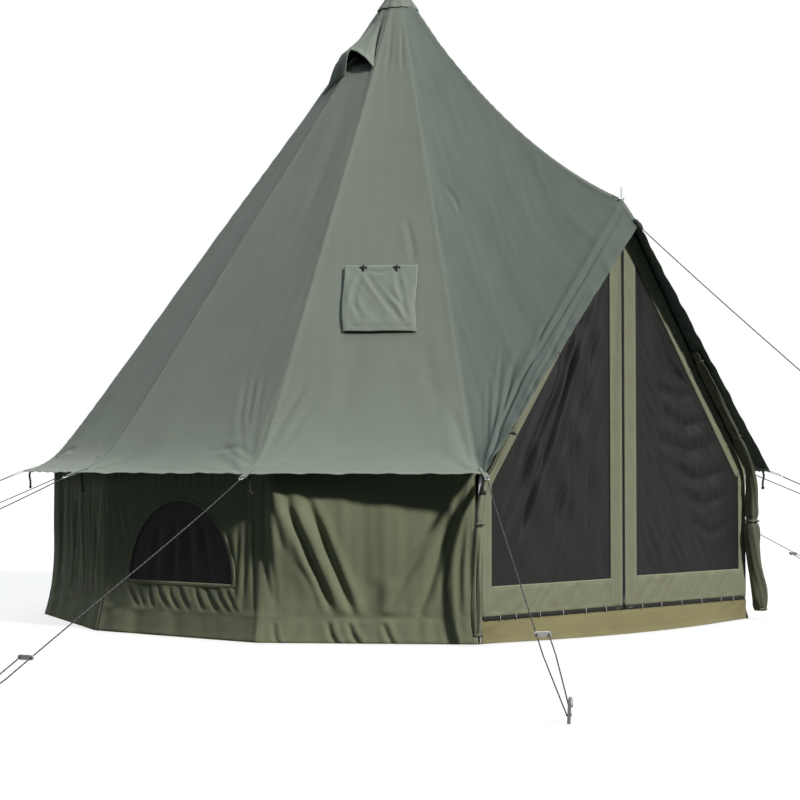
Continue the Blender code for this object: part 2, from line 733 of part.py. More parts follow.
def leg_route(side):
    knee = Vector((side * FRAME_FOOT_X, FRAME_Y, FRAME_KNEE_HEIGHT))
    peak = Vector((0.0, FRAME_Y, FRAME_PEAK_HEIGHT))
    foot = Vector((side * FRAME_FOOT_X, FRAME_Y, SHEET_THICKNESS + 0.0006))
    up = (peak - knee).normalized()
    down = (foot - knee).normalized()
    reach = 0.07
    bend = []
    for number in range(6):
        share = number / 5
        first, second = knee + down * reach, knee + up * reach
        bend.append(first.lerp(knee, share).lerp(knee.lerp(second, share), share))
    return foot, bend, peak, up


def make_frame():
    tops = []
    for word, side in (("left", -1), ("right", 1)):
        foot, bend, peak, up = leg_route(side)
        end = peak - up * (0.075 - SOCKET_DEPTH)
        tops.append((peak, up, end))
        swell = {0: 1.25, 1: 1.25, 2: 1.0}
        points = [foot, foot + Vector((0, 0, 0.018)), foot + Vector((0, 0, 0.0185)), *bend, end]
        tube(f"door_frame_{word}", points, FRAME_RADIUS, "steel", swell, sides=4)
    peak, left_up, _ = tops[0]
    right_up = tops[1][1]
    reach = 0.03
    crown = []
    for number in range(5):
        share = number / 4
        first, second = peak - left_up * reach, peak - right_up * reach
        crown.append(first.lerp(peak, share).lerp(peak.lerp(second, share), share))
    route = [peak - left_up * 0.075, *crown, peak - right_up * 0.075]
    connector = mesh_of(tube("peak", route, SOCKET_RADIUS, None, sides=4), "door_frame_peak", "steel")
    for number, (_, up, end) in enumerate(tops):
        socket = tube("socket", [end - up * 0.2, end + up * GAP], FRAME_RADIUS + 0.0004, None, sides=4)
        boolean(connector, mesh_of(socket, f"socket_way_{number}", None, cutters), "DIFFERENCE")
    spigot = upright_cutter("spigot", 0.0, DOOR_Y, 1.585, PEAK_HEIGHT + 0.045, 0.0035)
    shelf = tube("shelf", [(0, FRAME_Y, 1.596), (0, DOOR_Y - 0.002, 1.596)], 0.005, None)
    boolean(connector, mesh_of(shelf, "spigot_shelf", None, cutters), "UNION")
    boolean(connector, spigot, "UNION")


# Centre pole


def make_pole():
    base = SHEET_THICKNESS + 0.0006
    top = 2.640
    bore = POLE_RADIUS - POLE_WALL
    low = base + 0.006
    foot = [
        (0.0, low - 0.0004), (POLE_RADIUS + 0.0004, low - 0.0004), (POLE_RADIUS + 0.0004, base + 0.045),
        (0.021, base + 0.045), (0.026, base + 0.004), (0.026, base), (0.0, base),
    ]
    turned("centre_pole_foot", foot, "rubber")
    lower = [
        (bore, POLE_JOINT_HEIGHT), (POLE_RADIUS, POLE_JOINT_HEIGHT), (POLE_RADIUS, low), (bore, low),
    ]
    turned("centre_pole_lower", lower, "steel")
    thin = bore - POLE_BORE_GAP
    upper = [
        (bore, top), (POLE_RADIUS, top), (POLE_RADIUS, POLE_JOINT_HEIGHT + GAP),
        (thin, POLE_JOINT_HEIGHT + GAP), (thin, POLE_JOINT_HEIGHT - SWAGE_LENGTH),
        (thin - POLE_WALL, POLE_JOINT_HEIGHT - SWAGE_LENGTH), (thin - POLE_WALL, POLE_JOINT_HEIGHT + 0.004),
        (bore, POLE_JOINT_HEIGHT + 0.008),
    ]
    turned("centre_pole_upper", upper, "steel")
    head = [
        (0.0, APEX_HEIGHT + 0.001), (0.0300, 2.6935), (0.0310, 2.690), (0.0290, 2.668), (0.018, top + GAP),
        (thin, top + GAP), (thin - 0.001, top - 0.05), (0.0, top - 0.05),
    ]
    turned("centre_pole_head", head, "rubber")


# Guy ropes


def rope_frame(anchor, peg):
    """Unit vectors of a guy: along it to the peg, and level across it."""
    along = (peg - anchor).normalized()
    across = along.cross(Vector((0, 0, 1))).normalized()
    return along, across


def peg_route(peg, along):
    away = Vector((along.x, along.y, 0)).normalized()
    ground = Vector((peg.x, peg.y, 0.0006))
    shank = [(0.0, 0.0), (0.0, 0.006), (0.010, 0.040)]
    crook = [(0.014, 0.056), (0.024, 0.064), (0.034, 0.058), (0.037, 0.046)]
    return [ground + away * out + Vector((0, 0, rise)) for out, rise in shank + crook]


def guy_route(anchor, peg, share, side):
    """The rope's points: down to the runner, round the peg, and back up to its knot above the runner."""
    line_end = Vector((peg.x, peg.y, TIE_HEIGHT))
    along, across = rope_frame(anchor, line_end)
    across = across * side
    line_end = line_end - across * STRAND_SPACING / 2
    along = (line_end - anchor).normalized()
    length = (line_end - anchor).length
    held = anchor + along * (length * share)
    sag = Vector((0, 0, -SAG_SHARE * length * share))
    steps = 7
    points = []
    for number in range(steps):
        t = number / steps
        points.append(anchor.lerp(held, t) + sag * 4 * t * (1 - t) * (1 - t))
    rest = length * (1 - share)
    middle = STRAND_SPACING / 2
    centre = line_end + across * middle
    turn = PEG_RADIUS + 0.0012
    straight = (RUNNER_TRAVEL + 0.012) / rest
    halfway = (1 + straight) / 2
    down = [(0.0, middle), (straight, middle), (halfway, (middle + turn) / 2), (0.97, turn)]
    strand = [held + along * (rest * t) + across * (middle - half) for t, half in down]
    points += strand
    for number in range(1, 4):
        angle = math.pi * number / 4
        points.append(centre + along * turn * math.sin(angle) - across * turn * math.cos(angle))
    points += [held + along * (rest * t) + across * (middle + half) for t, half in reversed(down)]
    tail = held + across * STRAND_SPACING
    points += [tail - along * 0.0035, tail - along * 0.0055, tail - along * 0.0125, tail - along * 0.0145]
    points.insert(1, points[0] + along * 0.009)
    points.insert(2, points[0] + along * 0.011)
    last = len(points) - 1
    swell = {0: 2.0, 1: 2.2, last - 2: 2.1, last - 1: 2.1, last: 0.8}
    return points, swell, held + across * middle, along, across


def make_runner(name, centre, along, across):
    """A flat slider with the two rope holes."""
    bm = bmesh.new()
    bmesh.ops.create_cube(bm, size=1.0)
    bmesh.ops.scale(bm, verts=bm.verts, vec=RUNNER_SIZE)
    corners = [edge for edge in bm.edges if abs((edge.verts[0].co - edge.verts[1].co).normalized().z) > 0.9]
    bmesh.ops.bevel(
        bm, geom=corners, offset=0.006, offset_type="OFFSET", segments=2, profile=0.5,
        affect="EDGES", material=-1,
    )
    up = along.cross(across)
    turn = Matrix((across, up, along)).transposed().to_4x4()
    place = Matrix.Translation(centre) @ turn
    bmesh.ops.transform(bm, verts=bm.verts, matrix=place)
    runner = from_bmesh(name, bm, "runner")
    for side in (-1, 1):
        bm = bmesh.new()
        bmesh.ops.create_cone(
            bm, cap_ends=True, segments=12, radius1=RUNNER_HOLE, radius2=RUNNER_HOLE, depth=0.02
        )
        bmesh.ops.translate(bm, verts=bm.verts, vec=(side * STRAND_SPACING / 2, 0, 0))
        bmesh.ops.transform(bm, verts=bm.verts, matrix=place)
        boolean(runner, from_bmesh(f"{name}_hole_{side}", bm, None, cutters), "DIFFERENCE")


def eave_anchor(angle):
    """Just past the end of a corner's eyelet tab."""
    slope = (SEAM_FLARE[1] - EAVE_HEIGHT) / (EAVE_RADIUS - SEAM_FLARE[0])
    reach = TAB_LENGTH * math.cos(math.atan(slope)) + 0.0055
    return at(angle, EAVE_RADIUS + reach, EAVE_HEIGHT - slope * reach)


def make_guy(name, anchor, peg, share, side):
    points, swell, centre, along, across = guy_route(anchor, peg, share, side)
    rope = mesh_of(tube("rope", points, ROPE_RADIUS, None, swell), f"guy_rope_{name}", "rope")
    peg_tube = tube("peg", peg_route(peg, along), PEG_RADIUS, None)
    boolean(rope, mesh_of(peg_tube, f"peg_{name}", None, cutters), "UNION")
    make_runner(f"guy_runner_{name}", centre, along, across)


def make_guys():
    for name, (corner, peg, share, side) in GUYS.items():
        make_guy(name, eave_anchor(math.radians(corner)), Vector((*peg, 0.0)), share, side)
    front_anchor = Vector((0.0, HOOD_Y - 0.012, HOOD_TIP_HEIGHT - 0.012))
    make_guy("front", front_anchor, Vector((*FRONT_PEG, 0.0)), FRONT_RUNNER_SHARE, 1)
    angle = math.radians(CROPPED_GUY_ANGLE)
    anchor = eave_anchor(angle)
    along = at(angle, 1.0, -CROPPED_GUY_DROP).normalized()
    across = along.cross(Vector((0, 0, 1))).normalized()
    length = CROPPED_GUY_REACH * math.hypot(1.0, CROPPED_GUY_DROP)
    points = [anchor, anchor + along * 0.009, anchor + along * 0.011]
    points += [anchor + along * (length * t) for t in (0.35, 0.7, 0.9)]
    eye = anchor + along * length
    for number in range(7):
        turn = math.pi * number / 6
        points.append(eye + along * 0.012 * math.sin(turn) + across * 0.0065 * (1 - math.cos(turn)))
    tail = eye + across * 0.013
    points += [tail - along * 0.03, tail - along * 0.032, tail - along * 0.040, tail - along * 0.042]
    last = len(points) - 1
    swell = {0: 2.0, 1: 2.2, last - 2: 1.9, last - 1: 1.9, last: 0.8}
    tube("guy_rope_left_150", points, ROPE_RADIUS, "rope", swell)


make_groundsheet()
make_pole()
make_frame()
make_walls()
make_roof()
make_stove_and_vent()
for leaf_side in (-1, 1):
    make_door(leaf_side)
    make_rolled_door(leaf_side)
make_zip_sliders()
make_guys()
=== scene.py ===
"""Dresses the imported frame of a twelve-sided bell tent: cloth, nets, ropes and finishes."""

import math

import bmesh
import bpy
import numpy as np
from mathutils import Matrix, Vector


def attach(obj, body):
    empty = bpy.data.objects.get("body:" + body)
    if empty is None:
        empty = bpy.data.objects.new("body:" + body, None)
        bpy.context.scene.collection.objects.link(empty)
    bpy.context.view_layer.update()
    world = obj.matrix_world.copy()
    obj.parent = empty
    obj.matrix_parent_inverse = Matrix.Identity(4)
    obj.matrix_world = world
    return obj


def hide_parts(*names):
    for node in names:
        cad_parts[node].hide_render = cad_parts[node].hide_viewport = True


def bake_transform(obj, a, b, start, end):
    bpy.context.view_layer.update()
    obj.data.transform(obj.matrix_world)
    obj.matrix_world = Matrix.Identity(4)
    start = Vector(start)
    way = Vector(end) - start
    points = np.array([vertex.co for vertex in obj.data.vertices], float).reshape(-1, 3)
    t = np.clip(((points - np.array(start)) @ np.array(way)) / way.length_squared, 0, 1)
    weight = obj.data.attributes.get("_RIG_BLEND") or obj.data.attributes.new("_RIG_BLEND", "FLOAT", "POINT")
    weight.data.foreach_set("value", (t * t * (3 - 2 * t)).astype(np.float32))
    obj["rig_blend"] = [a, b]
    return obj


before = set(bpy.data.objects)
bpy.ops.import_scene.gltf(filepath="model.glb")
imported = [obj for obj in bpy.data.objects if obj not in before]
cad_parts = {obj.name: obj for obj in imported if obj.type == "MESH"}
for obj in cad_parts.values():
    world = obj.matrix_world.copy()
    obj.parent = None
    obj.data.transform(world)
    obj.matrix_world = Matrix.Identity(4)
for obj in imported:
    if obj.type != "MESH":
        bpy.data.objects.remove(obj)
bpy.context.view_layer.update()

bl_info = {
    "name": "Bell Tent",
    "version": (1, 0, 0),
    "blender": (4, 5, 0),
    "location": "View3D > Sidebar > Bell Tent",
    "description": "Builds the cloth, nets, ropes and finishes of a canvas bell tent on its frame",
    "category": "Add Mesh",
}

# The frame's own sizes, in metres; angles are counted round from the door, positive towards +X
SIDES = 12
STEP = math.radians(30)
HALF_CHORD = math.cos(STEP / 2)
SEAM = [(0.035, 2.6846), (0.28, 2.318), (1.375, 0.768), (1.461, 0.663), (1.534, 0.615), (1.594, 0.594)]
SHOULDER, BREAK = SEAM[1], SEAM[2]
SLOPE_RUN, SLOPE_DROP = BREAK[0] - SHOULDER[0], SHOULDER[1] - BREAK[1]
SLOPE_LENGTH = math.hypot(SLOPE_RUN, SLOPE_DROP)
EAVE_RADIUS, EAVE_HEIGHT = SEAM[5]
DOOR_Y, PEAK_HEIGHT = -1.30, 1.632
HOOD_TIP = (1.385, 1.525)
WALL_TOP, WALL_HEM, WALL_CORNER = 0.6567, 0.0018, 1.466
WALL_LINE = [(1.50, WALL_HEM), (1.476, 0.11), (1.467, 0.20), (WALL_CORNER, 0.42), (1.465, WALL_TOP)]
WALL_SEAM = 0.093
WINDOWS = {"left": -75, "right": 75, "rear_left": -135, "rear_right": 135}
SILL, WINDOW_HALF, WINDOW_RISE = 0.19, 0.257, 0.310
LEAF_TOP, LEAF_BOTTOM, LEAF_OUTER, KNEE = 1.50, 0.095, 0.735, 0.602
FOLD_FOOT, ZIP_GAP, ZIP_STRIP = 0.100, 0.006, 0.067
FLOOR_CORNER, FLOOR_FRONT, SILL_HALF, SILL_TOP = 1.505, 1.287, 0.738, 0.080
FELL_INNER, FELL_OUTER = 0.0148, 0.0168
NET_THICKNESS, LIGHT_CANVAS = 0.0004, 0.0009
TAB_LENGTH, RING_GAP = 0.034, 0.0055
ROPE_RADIUS, STRAND_SPACING, PEG_RADIUS, TIE_HEIGHT = 0.002, 0.034, 0.0045, 0.022
RUNNER_TRAVEL, RUNNER_ROOM = 0.12, 0.012
# Guy ropes: (corner's angle, peg's place, runner's share of the way down, side of the second strand)
GUYS = {
    "left_30": (-30, (-1.803, -2.735), 0.73, -1),
    "left_60": (-60, (-2.816, -1.600), 0.84, 1),
    "left_90": (-90, (-2.980, 0.060), 0.78, 1),
    "left_120": (-120, (-2.640, 1.530), 0.78, 1),
    "right_30": (30, (1.490, -2.570), 0.78, 1),
    "right_60": (60, (2.690, -1.550), 0.78, -1),
    "right_90": (90, (3.130, 0.0), 0.80, -1),
    "front": (0, (0.0, -3.300), 0.80, 1),
}


# Settings that a user may change


class TentSizes(bpy.types.PropertyGroup):
    cloth: bpy.props.FloatProperty(
        name="Canvas thickness", description="Thickness of the roof and wall canvas",
        default=0.0011, min=0.0004, max=0.002, unit="LENGTH",
    )
    folds: bpy.props.FloatProperty(
        name="Fold depth", description="Depth of the cloth's folds, as a share of the usual depth",
        default=1.0, min=0.0, max=1.5, subtype="FACTOR",
    )
    fleck: bpy.props.FloatProperty(
        name="Rope fleck", description="Length of one dark and one light fleck of the guy ropes",
        default=0.026, min=0.01, max=0.06, unit="LENGTH",
    )


class TentColours(bpy.types.PropertyGroup):
    canvas: bpy.props.FloatVectorProperty(
        name="Roof canvas", description="Colour of the roof", default=(0.212, 0.240, 0.200),
        size=3, min=0.0, max=1.0, subtype="COLOR",
    )
    wall: bpy.props.FloatVectorProperty(
        name="Wall canvas", description="Colour of the walls", default=(0.235, 0.252, 0.160),
        size=3, min=0.0, max=1.0, subtype="COLOR",
    )
    khaki: bpy.props.FloatVectorProperty(
        name="Door canvas", description="Colour of the door's borders", default=(0.275, 0.285, 0.195),
        size=3, min=0.0, max=1.0, subtype="COLOR",
    )
    net: bpy.props.FloatVectorProperty(
        name="Net", description="Colour of the insect net", default=(0.0120, 0.0120, 0.0115),
        size=3, min=0.0, max=1.0, subtype="COLOR",
    )
    tarp: bpy.props.FloatVectorProperty(
        name="Groundsheet", description="Colour of the groundsheet", default=(0.255, 0.230, 0.110),
        size=3, min=0.0, max=1.0, subtype="COLOR",
    )


class TentStage(bpy.types.PropertyGroup):
    sun: bpy.props.FloatProperty(
        name="Key light", description="Strength of the key light", default=2.75, min=0.0, max=10.0,
    )
    fill: bpy.props.FloatProperty(
        name="Back light", description="Strength of the light from behind", default=0.85, min=0.0, max=10.0,
    )
    top: bpy.props.FloatProperty(
        name="Top light", description="Strength of the soft light from overhead",
        default=1.10, min=0.0, max=10.0,
    )
    sky: bpy.props.FloatProperty(
        name="Sky", description="Strength of the even light all round", default=0.04, min=0.0, max=2.0,
    )


def sizes():
    return bpy.context.scene.bell_tent_sizes


def colours():
    return bpy.context.scene.bell_tent_colours


# Shader nodes

THREAD, NET_PITCH = 0.0013, 0.0015
STITCH_ROWS = (0.0022, 0.0125)


def node(tree, kind, place, **values):
    """A new node; values set its inputs by name, or its own settings where it has such a setting."""
    made = tree.nodes.new(kind)
    made.location = place
    for name, value in values.items():
        if hasattr(made, name):
            setattr(made, name, value)
        else:
            made.inputs[name.replace("_", " ")].default_value = value
    return made


def wire(tree, *pairs):
    for start, end in pairs:
        tree.links.new(start, end)


def feed(tree, sockets, values):
    """Gives each input its value, or the wire from it where the value is a socket."""
    for socket, value in zip(sockets, values):
        if isinstance(value, bpy.types.NodeSocket):
            wire(tree, (value, socket))
        else:
            socket.default_value = value


def maths(tree, place, operation, *values):
    made = node(tree, "ShaderNodeMath", place, operation=operation)
    feed(tree, made.inputs, values)
    return made.outputs[0]


def mix(tree, place, share, first, second):
    """A colour mix whose share and colours may be numbers, colours or sockets."""
    made = node(tree, "ShaderNodeMix", place, data_type="RGBA")
    feed(tree, (made.inputs[0], made.inputs[6], made.inputs[7]), (share, first, second))
    return made.outputs[2]


def ramp(tree, place, value, low, high, first=0.0, last=1.0):
    made = node(tree, "ShaderNodeMapRange", place, clamp=True, interpolation_type="SMOOTHSTEP")
    feed(tree, made.inputs, (value, low, high, first, last))
    return made.outputs[0]


def noise(tree, place, spot, **values):
    """A noise texture at a place on the piece."""
    made = node(tree, "ShaderNodeTexNoise", place, **values)
    wire(tree, (spot, made.inputs["Vector"]))
    return made.outputs[0]


def wave(tree, place, value, turns):
    """The sine of a value times turns."""
    return maths(tree, place, "SINE", maths(tree, (place[0] - 150, place[1]), "MULTIPLY", value, turns))


def tone(colour, factor, lift=0.0):
    """A colour made lighter or darker, with its alpha."""
    return (*[min(channel * factor + lift, 1.0) for channel in colour], 1.0)


def flat_place(tree, place):
    """The cloth's own metres from its UV map: the place, and its two numbers."""
    spot = node(tree, "ShaderNodeUVMap", place, uv_map="metres").outputs[0]
    split = node(tree, "ShaderNodeSeparateXYZ", (place[0] + 200, place[1]))
    wire(tree, (spot, split.inputs[0]))
    return spot, split.outputs[0], split.outputs[1]


def shader_group(name, inputs, outputs):
    """A new node group and its input and output nodes."""
    group = bpy.data.node_groups.new(name, "ShaderNodeTree")
    kinds = {"colour": "NodeSocketColor", "number": "NodeSocketFloat", "vector": "NodeSocketVector"}
    for label, kind, default in inputs:
        socket = group.interface.new_socket(label, in_out="INPUT", socket_type=kinds[kind])
        if default is not None:
            socket.default_value = default
    for label, kind in outputs:
        group.interface.new_socket(label, in_out="OUTPUT", socket_type=kinds[kind])
    return group, node(group, "NodeGroupInput", (-900, 0)), node(group, "NodeGroupOutput", (700, 0))


def woven_group():
    """Plain weave, slubs and soft unevenness of a cloth, from a place on it in metres."""
    group, source, sink = shader_group(
        "Woven cloth",
        [("Place", "vector", None), ("Colour", "colour", (0.2, 0.2, 0.2, 1)), ("Thread", "number", 0.0012),
         ("Blotches", "number", 0.12), ("Soil", "number", 0.0)],
        [("Colour", "colour"), ("Height", "number"), ("Roughness", "number")],
    )
    place = source.outputs["Place"]
    split = node(group, "ShaderNodeSeparateXYZ", (-700, 200))
    wire(group, (place, split.inputs[0]))
    turns = maths(group, (-700, 20), "DIVIDE", 2 * math.pi, source.outputs["Thread"])
    warp = wave(group, (-380, 300), split.outputs[0], turns)
    weft = wave(group, (-380, 140), split.outputs[1], turns)
    weave = maths(group, (-220, 220), "MULTIPLY", warp, weft)
    stretch = node(group, "ShaderNodeMapping", (-560, -40), Scale=(14.0, 260.0, 14.0))
    wire(group, (place, stretch.inputs[0]))
    slubs = noise(group, (-380, -40), stretch.outputs[0], Scale=1.0, Detail=3.0, Roughness=0.6)
    clouds = noise(group, (-380, -260), place, Scale=3.2, Detail=5.0, Roughness=0.55)
    marks = noise(group, (-380, -480), place, Scale=9.0, Detail=4.0, Roughness=0.65)
    uneven = maths(group, (-200, -160), "ADD", maths(group, (-200, -60), "MULTIPLY", slubs, 0.35), clouds)
    shade = ramp(group, (-40, -160), uneven, 0.35, 1.0, 0.0, 1.0)
    reach = maths(group, (120, -60), "MULTIPLY", maths(group, (-40, -20), "SUBTRACT", shade, 0.5),
                  source.outputs["Blotches"])
    level = maths(group, (260, -60), "ADD", reach, 1.0)
    bright = node(group, "ShaderNodeVectorMath", (400, 60), operation="SCALE")
    wire(group, (source.outputs["Colour"], bright.inputs[0]), (level, bright.inputs["Scale"]))
    dirt = maths(group, (260, -300), "MULTIPLY", source.outputs["Soil"],
                 ramp(group, (120, -300), marks, 0.42, 0.62))
    dusty = mix(group, (560, 60), dirt, bright.outputs[0], (0.20, 0.175, 0.125, 1))
    height = maths(group, (260, 220), "ADD", maths(group, (100, 220), "MULTIPLY", weave, 0.5),
                   maths(group, (100, 120), "MULTIPLY", slubs, 0.9))
    rough = ramp(group, (260, -480), clouds, 0.3, 0.7, -0.04, 0.04)
    wire(group, (dusty, sink.inputs["Colour"]), (height, sink.inputs["Height"]),
         (rough, sink.inputs["Roughness"]))
    return group


def stitch_group():
    """Stitches in a row: a mask from the distance across the row and the run along it, in metres."""
    group, source, sink = shader_group(
        "Stitch row",
        [("Across", "number", 1.0), ("Along", "number", 0.0), ("Pitch", "number", 0.0075),
         ("Width", "number", 0.0009)],
        [("Thread", "number")],
    )
    pitches = maths(group, (-660, 0), "DIVIDE", source.outputs["Along"], source.outputs["Pitch"])
    turn = maths(group, (-500, 0), "FRACT", pitches)
    middle = maths(group, (-340, 0), "ABSOLUTE", maths(group, (-420, 100), "SUBTRACT", turn, 0.5))
    dash = maths(group, (-200, 0), "LESS_THAN", middle, 0.34)
    away = maths(group, (-340, -200), "ABSOLUTE", source.outputs["Across"])
    near = maths(group, (-200, -200), "LESS_THAN", away, source.outputs["Width"])
    wire(group, (maths(group, (0, 0), "MULTIPLY", dash, near), sink.inputs["Thread"]))
    return group


def new_material(name, colour, roughness, metallic=0.0):
    """A new material with its Principled shader's plain values set, its node tree and that shader."""
    made = bpy.data.materials.new(name)
    made.use_nodes = True
    tree = made.node_tree
    shader = tree.nodes["Principled BSDF"]
    shader.inputs["Base Color"].default_value = (*colour, 1.0)
    shader.inputs["Roughness"].default_value = roughness
    shader.inputs["Metallic"].default_value = metallic
    return made, tree, shader


def bump(tree, shader, height, strength, distance):
    made = node(tree, "ShaderNodeBump", (-200, -400), Strength=strength, Distance=distance)
    wire(tree, (height, made.inputs["Height"]), (made.outputs[0], shader.inputs["Normal"]))


def attribute(tree, place, name):
    return node(tree, "ShaderNodeAttribute", place, attribute_name=name).outputs["Fac"]


def cloth_material(name, colour, groups, blotches, soil=0.0, painted_light=0.0, roughness=0.86):
    """Canvas: woven group on the piece's own metres, with two stitch rows beside every seam and hem."""
    weave, stitches = groups
    made, tree, shader = new_material(name, colour, roughness)
    spot = node(tree, "ShaderNodeUVMap", (-1500, 0), uv_map="metres").outputs[0]
    seam = attribute(tree, (-1500, -300), "seam")
    run = attribute(tree, (-1500, -500), "run")
    low = attribute(tree, (-1500, -700), "low")
    cloth = node(tree, "ShaderNodeGroup", (-700, 0))
    cloth.node_tree = weave
    cloth.inputs["Blotches"].default_value = blotches
    cloth.inputs["Thread"].default_value = THREAD
    rubbed = ramp(tree, (-1200, 200), seam, 0.0, 0.018, 0.16, 0.0)
    worn = mix(tree, (-1000, 200), rubbed, tone(colour, 1.0), tone(colour, 1.32, 0.01))
    # With painted_light set (the roof only), the colour named worn from here on carries painted light and
    # painted shade as well as the rubbed seams: first, painted light that grows lighter over the lowest 0.6
    # m towards the eave, where the flatter cloth faces the sky.
    if painted_light:
        pale = ramp(tree, (-1020, 420), low, 0.02, 0.60, painted_light, 0.0)
        worn = mix(tree, (-860, 320), pale, worn, tone(colour, 1.40))
        # Painted highlight: the last 24 mm of the hem band at the eave is mixed towards a much lighter
        # canvas, where the flared hem would catch the light.
        hem = ramp(tree, (-1020, 560), low, 0.022, 0.026, 0.30, 0.0)
        worn = mix(tree, (-860, 460), hem, worn, tone(colour, 1.60))
        # Painted shade: the two gores over the door, and more so their hood strip, are mixed towards a
        # darker, bluer canvas by the shade attribute.
        painted_shade_colour = (colour[0] * 0.70, colour[1] * 0.74, colour[2] * 0.80, 1.0)
        worn = mix(tree, (-860, 600), attribute(tree, (-1500, -900), "shade"), worn, painted_shade_colour)
    wire(tree, (spot, cloth.inputs["Place"]), (worn, cloth.inputs["Colour"]))
    if soil:
        wire(tree, (ramp(tree, (-1000, -260), low, 0.0, 0.16, soil, 0.0), cloth.inputs["Soil"]))
    rows = []
    for number, offset in enumerate(STITCH_ROWS):
        row = node(tree, "ShaderNodeGroup", (-900, -420 - 180 * number))
        row.node_tree = stitches
        away = maths(tree, (-1100, -420 - 180 * number), "SUBTRACT", seam, offset)
        wire(tree, (away, row.inputs["Across"]), (run, row.inputs["Along"]))
        rows.append(row.outputs[0])
    thread = maths(tree, (-700, -480), "MAXIMUM", *rows)
    sewn = mix(tree, (-420, 100), maths(tree, (-560, -300), "MULTIPLY", thread, 0.55),
               cloth.outputs["Colour"], tone(colour, 1.7))
    wire(tree, (sewn, shader.inputs["Base Color"]))
    sunk = maths(tree, (-700, -700), "MULTIPLY", thread, -1.2)
    bump(tree, shader, maths(tree, (-560, -640), "ADD", cloth.outputs["Height"], sunk), 0.35, 0.0005)
    rough = maths(tree, (-300, -100), "ADD", cloth.outputs["Roughness"], roughness)
    wire(tree, (rough, shader.inputs["Roughness"]))
    shader.inputs["Specular IOR Level"].default_value = 0.22
    shader.inputs["Sheen Weight"].default_value = 0.12
    shader.inputs["Sheen Roughness"].default_value = 0.5
    return made


# Curves and cloth


def around(angle, radius, height):
    """Points of the tent from their angle round from the door, distance from the pole and height."""
    angle, radius, height = np.broadcast_arrays(angle, radius, height)
    return np.stack([radius * np.sin(angle), -radius * np.cos(angle), height], -1)


def signed(angle):
    """The same angle between half a turn to one side and half a turn to the other."""
    return (angle + np.pi) % (2 * np.pi) - np.pi


def flatness(angle):
    """How far out a flat side reaches, as a share of the corners' radius."""
    return HALF_CHORD / np.cos((angle / STEP % 1 - 0.5) * STEP)


def smooth_line(stops, values, wanted):
    """A smooth line through values at stops, read at wanted."""
    stops, values = np.array(stops, float), np.array(values, float)
    span = np.diff(stops)[:, None]
    slope = np.diff(values, axis=0) / span
    inner = (slope[:-1] * span[1:] + slope[1:] * span[:-1]) / (span[:-1] + span[1:])
    tangent = np.concatenate([slope[:1], inner, slope[-1:]])
    piece = np.clip(np.searchsorted(stops, wanted, side="right") - 1, 0, len(stops) - 2)
    width = span[piece]
    t = ((wanted - stops[piece]) / width[..., 0])[..., None]
    start, end = values[piece], values[piece + 1]
    return (
        (2 * t**3 - 3 * t**2 + 1) * start + (t**3 - 2 * t**2 + t) * width * tangent[piece]
        + (3 * t**2 - 2 * t**3) * end + (t**3 - t**2) * width * tangent[piece + 1]
    )


def step_up(value, low, high):
    """0 below low, 1 above high and a smooth rise between them."""
    share = np.clip((value - low) / (high - low), 0, 1)
    return share * share * (3 - 2 * share)


def bell(value, width):
    """1 at nought, falling away smoothly over about that width on both sides."""
    return np.exp(-((value / width) ** 2))


def unit(vectors):
    return vectors / np.linalg.norm(vectors, axis=-1, keepdims=True)


def gone_along(path):
    """Metres from the start of a path to each of its points."""
    return np.concatenate([[0.0], np.cumsum(np.linalg.norm(np.diff(path, axis=0), axis=-1))])


def shares(columns, rows, left=0.0, right=1.0):
    """A grid's shares across, from left to right, and down, from 0 to 1."""
    return np.meshgrid(np.linspace(left, right, columns), np.linspace(0, 1, rows), indexing="ij")


def spans(*parts):
    """One line of values in even stretches, each from its (first value, last value, count)."""
    lines = [np.linspace(*part) for part in parts]
    return np.concatenate([line[:-1] for line in lines[:-1]] + lines[-1:])


def read_line(points, count):
    """A smooth line through points, read at that many even places."""
    return smooth_line(range(len(points)), points, np.linspace(0, len(points) - 1, count))


def seam_line(rows):
    """(radius, height) of a corner seam, its rows counted as on the frame's gores."""
    stops = [0, 1, 3.5, 6, 7, 8, 9]
    middle = tuple((a + b) / 2 for a, b in zip(SHOULDER, BREAK))
    line = smooth_line(stops, [SEAM[0], SEAM[1], middle, *SEAM[2:]], rows)
    return line[..., 0], line[..., 1]


def ridge_line(rows):
    """(distance in front of the pole, height) of the ridge over the door."""
    share = np.minimum(rows, 7) / 7
    reach = SEAM[0][0] + (-DOOR_Y - SEAM[0][0]) * share
    height = SEAM[0][1] + (PEAK_HEIGHT - SEAM[0][1]) * share - 0.48 * share * (1 - share)
    past = step_up(rows, 6.6, 9.0) * 0.35 + np.clip((rows - 7) / 2, 0, 1) * 0.65
    past = np.where(rows > 7, past - 0.35 * step_up(np.array(7.0), 6.6, 9.0) * (9 - rows) / 2, 0.0)
    return reach + (HOOD_TIP[0] + DOOR_Y) * past, height + (HOOD_TIP[1] - PEAK_HEIGHT) * past


def line_distance(x, y, line):
    """Signed distance from a bent line, and the share of its length that has gone by."""
    best, side, along = np.inf, 0.0, 0.0
    points = np.array(line, float)
    lengths = np.hypot(*np.diff(points, axis=0).T)
    gone = 0.0
    for (ax, ay), (bx, by), length in zip(points, points[1:], lengths):
        t = np.clip(((x - ax) * (bx - ax) + (y - ay) * (by - ay)) / length**2, 0, 1)
        dx, dy = x - ax - t * (bx - ax), y - ay - t * (by - ay)
        distance = np.hypot(dx, dy)
        sign = np.where((bx - ax) * dy - (by - ay) * dx > 0, 1.0, -1.0)
        share = (gone + t * length) / lengths.sum()
        nearer = distance < best
        best, side, along = (np.where(nearer, new, old) for new, old in
                             ((distance, best), (sign, side), (share, along)))
        gone += length
    return best * side, along


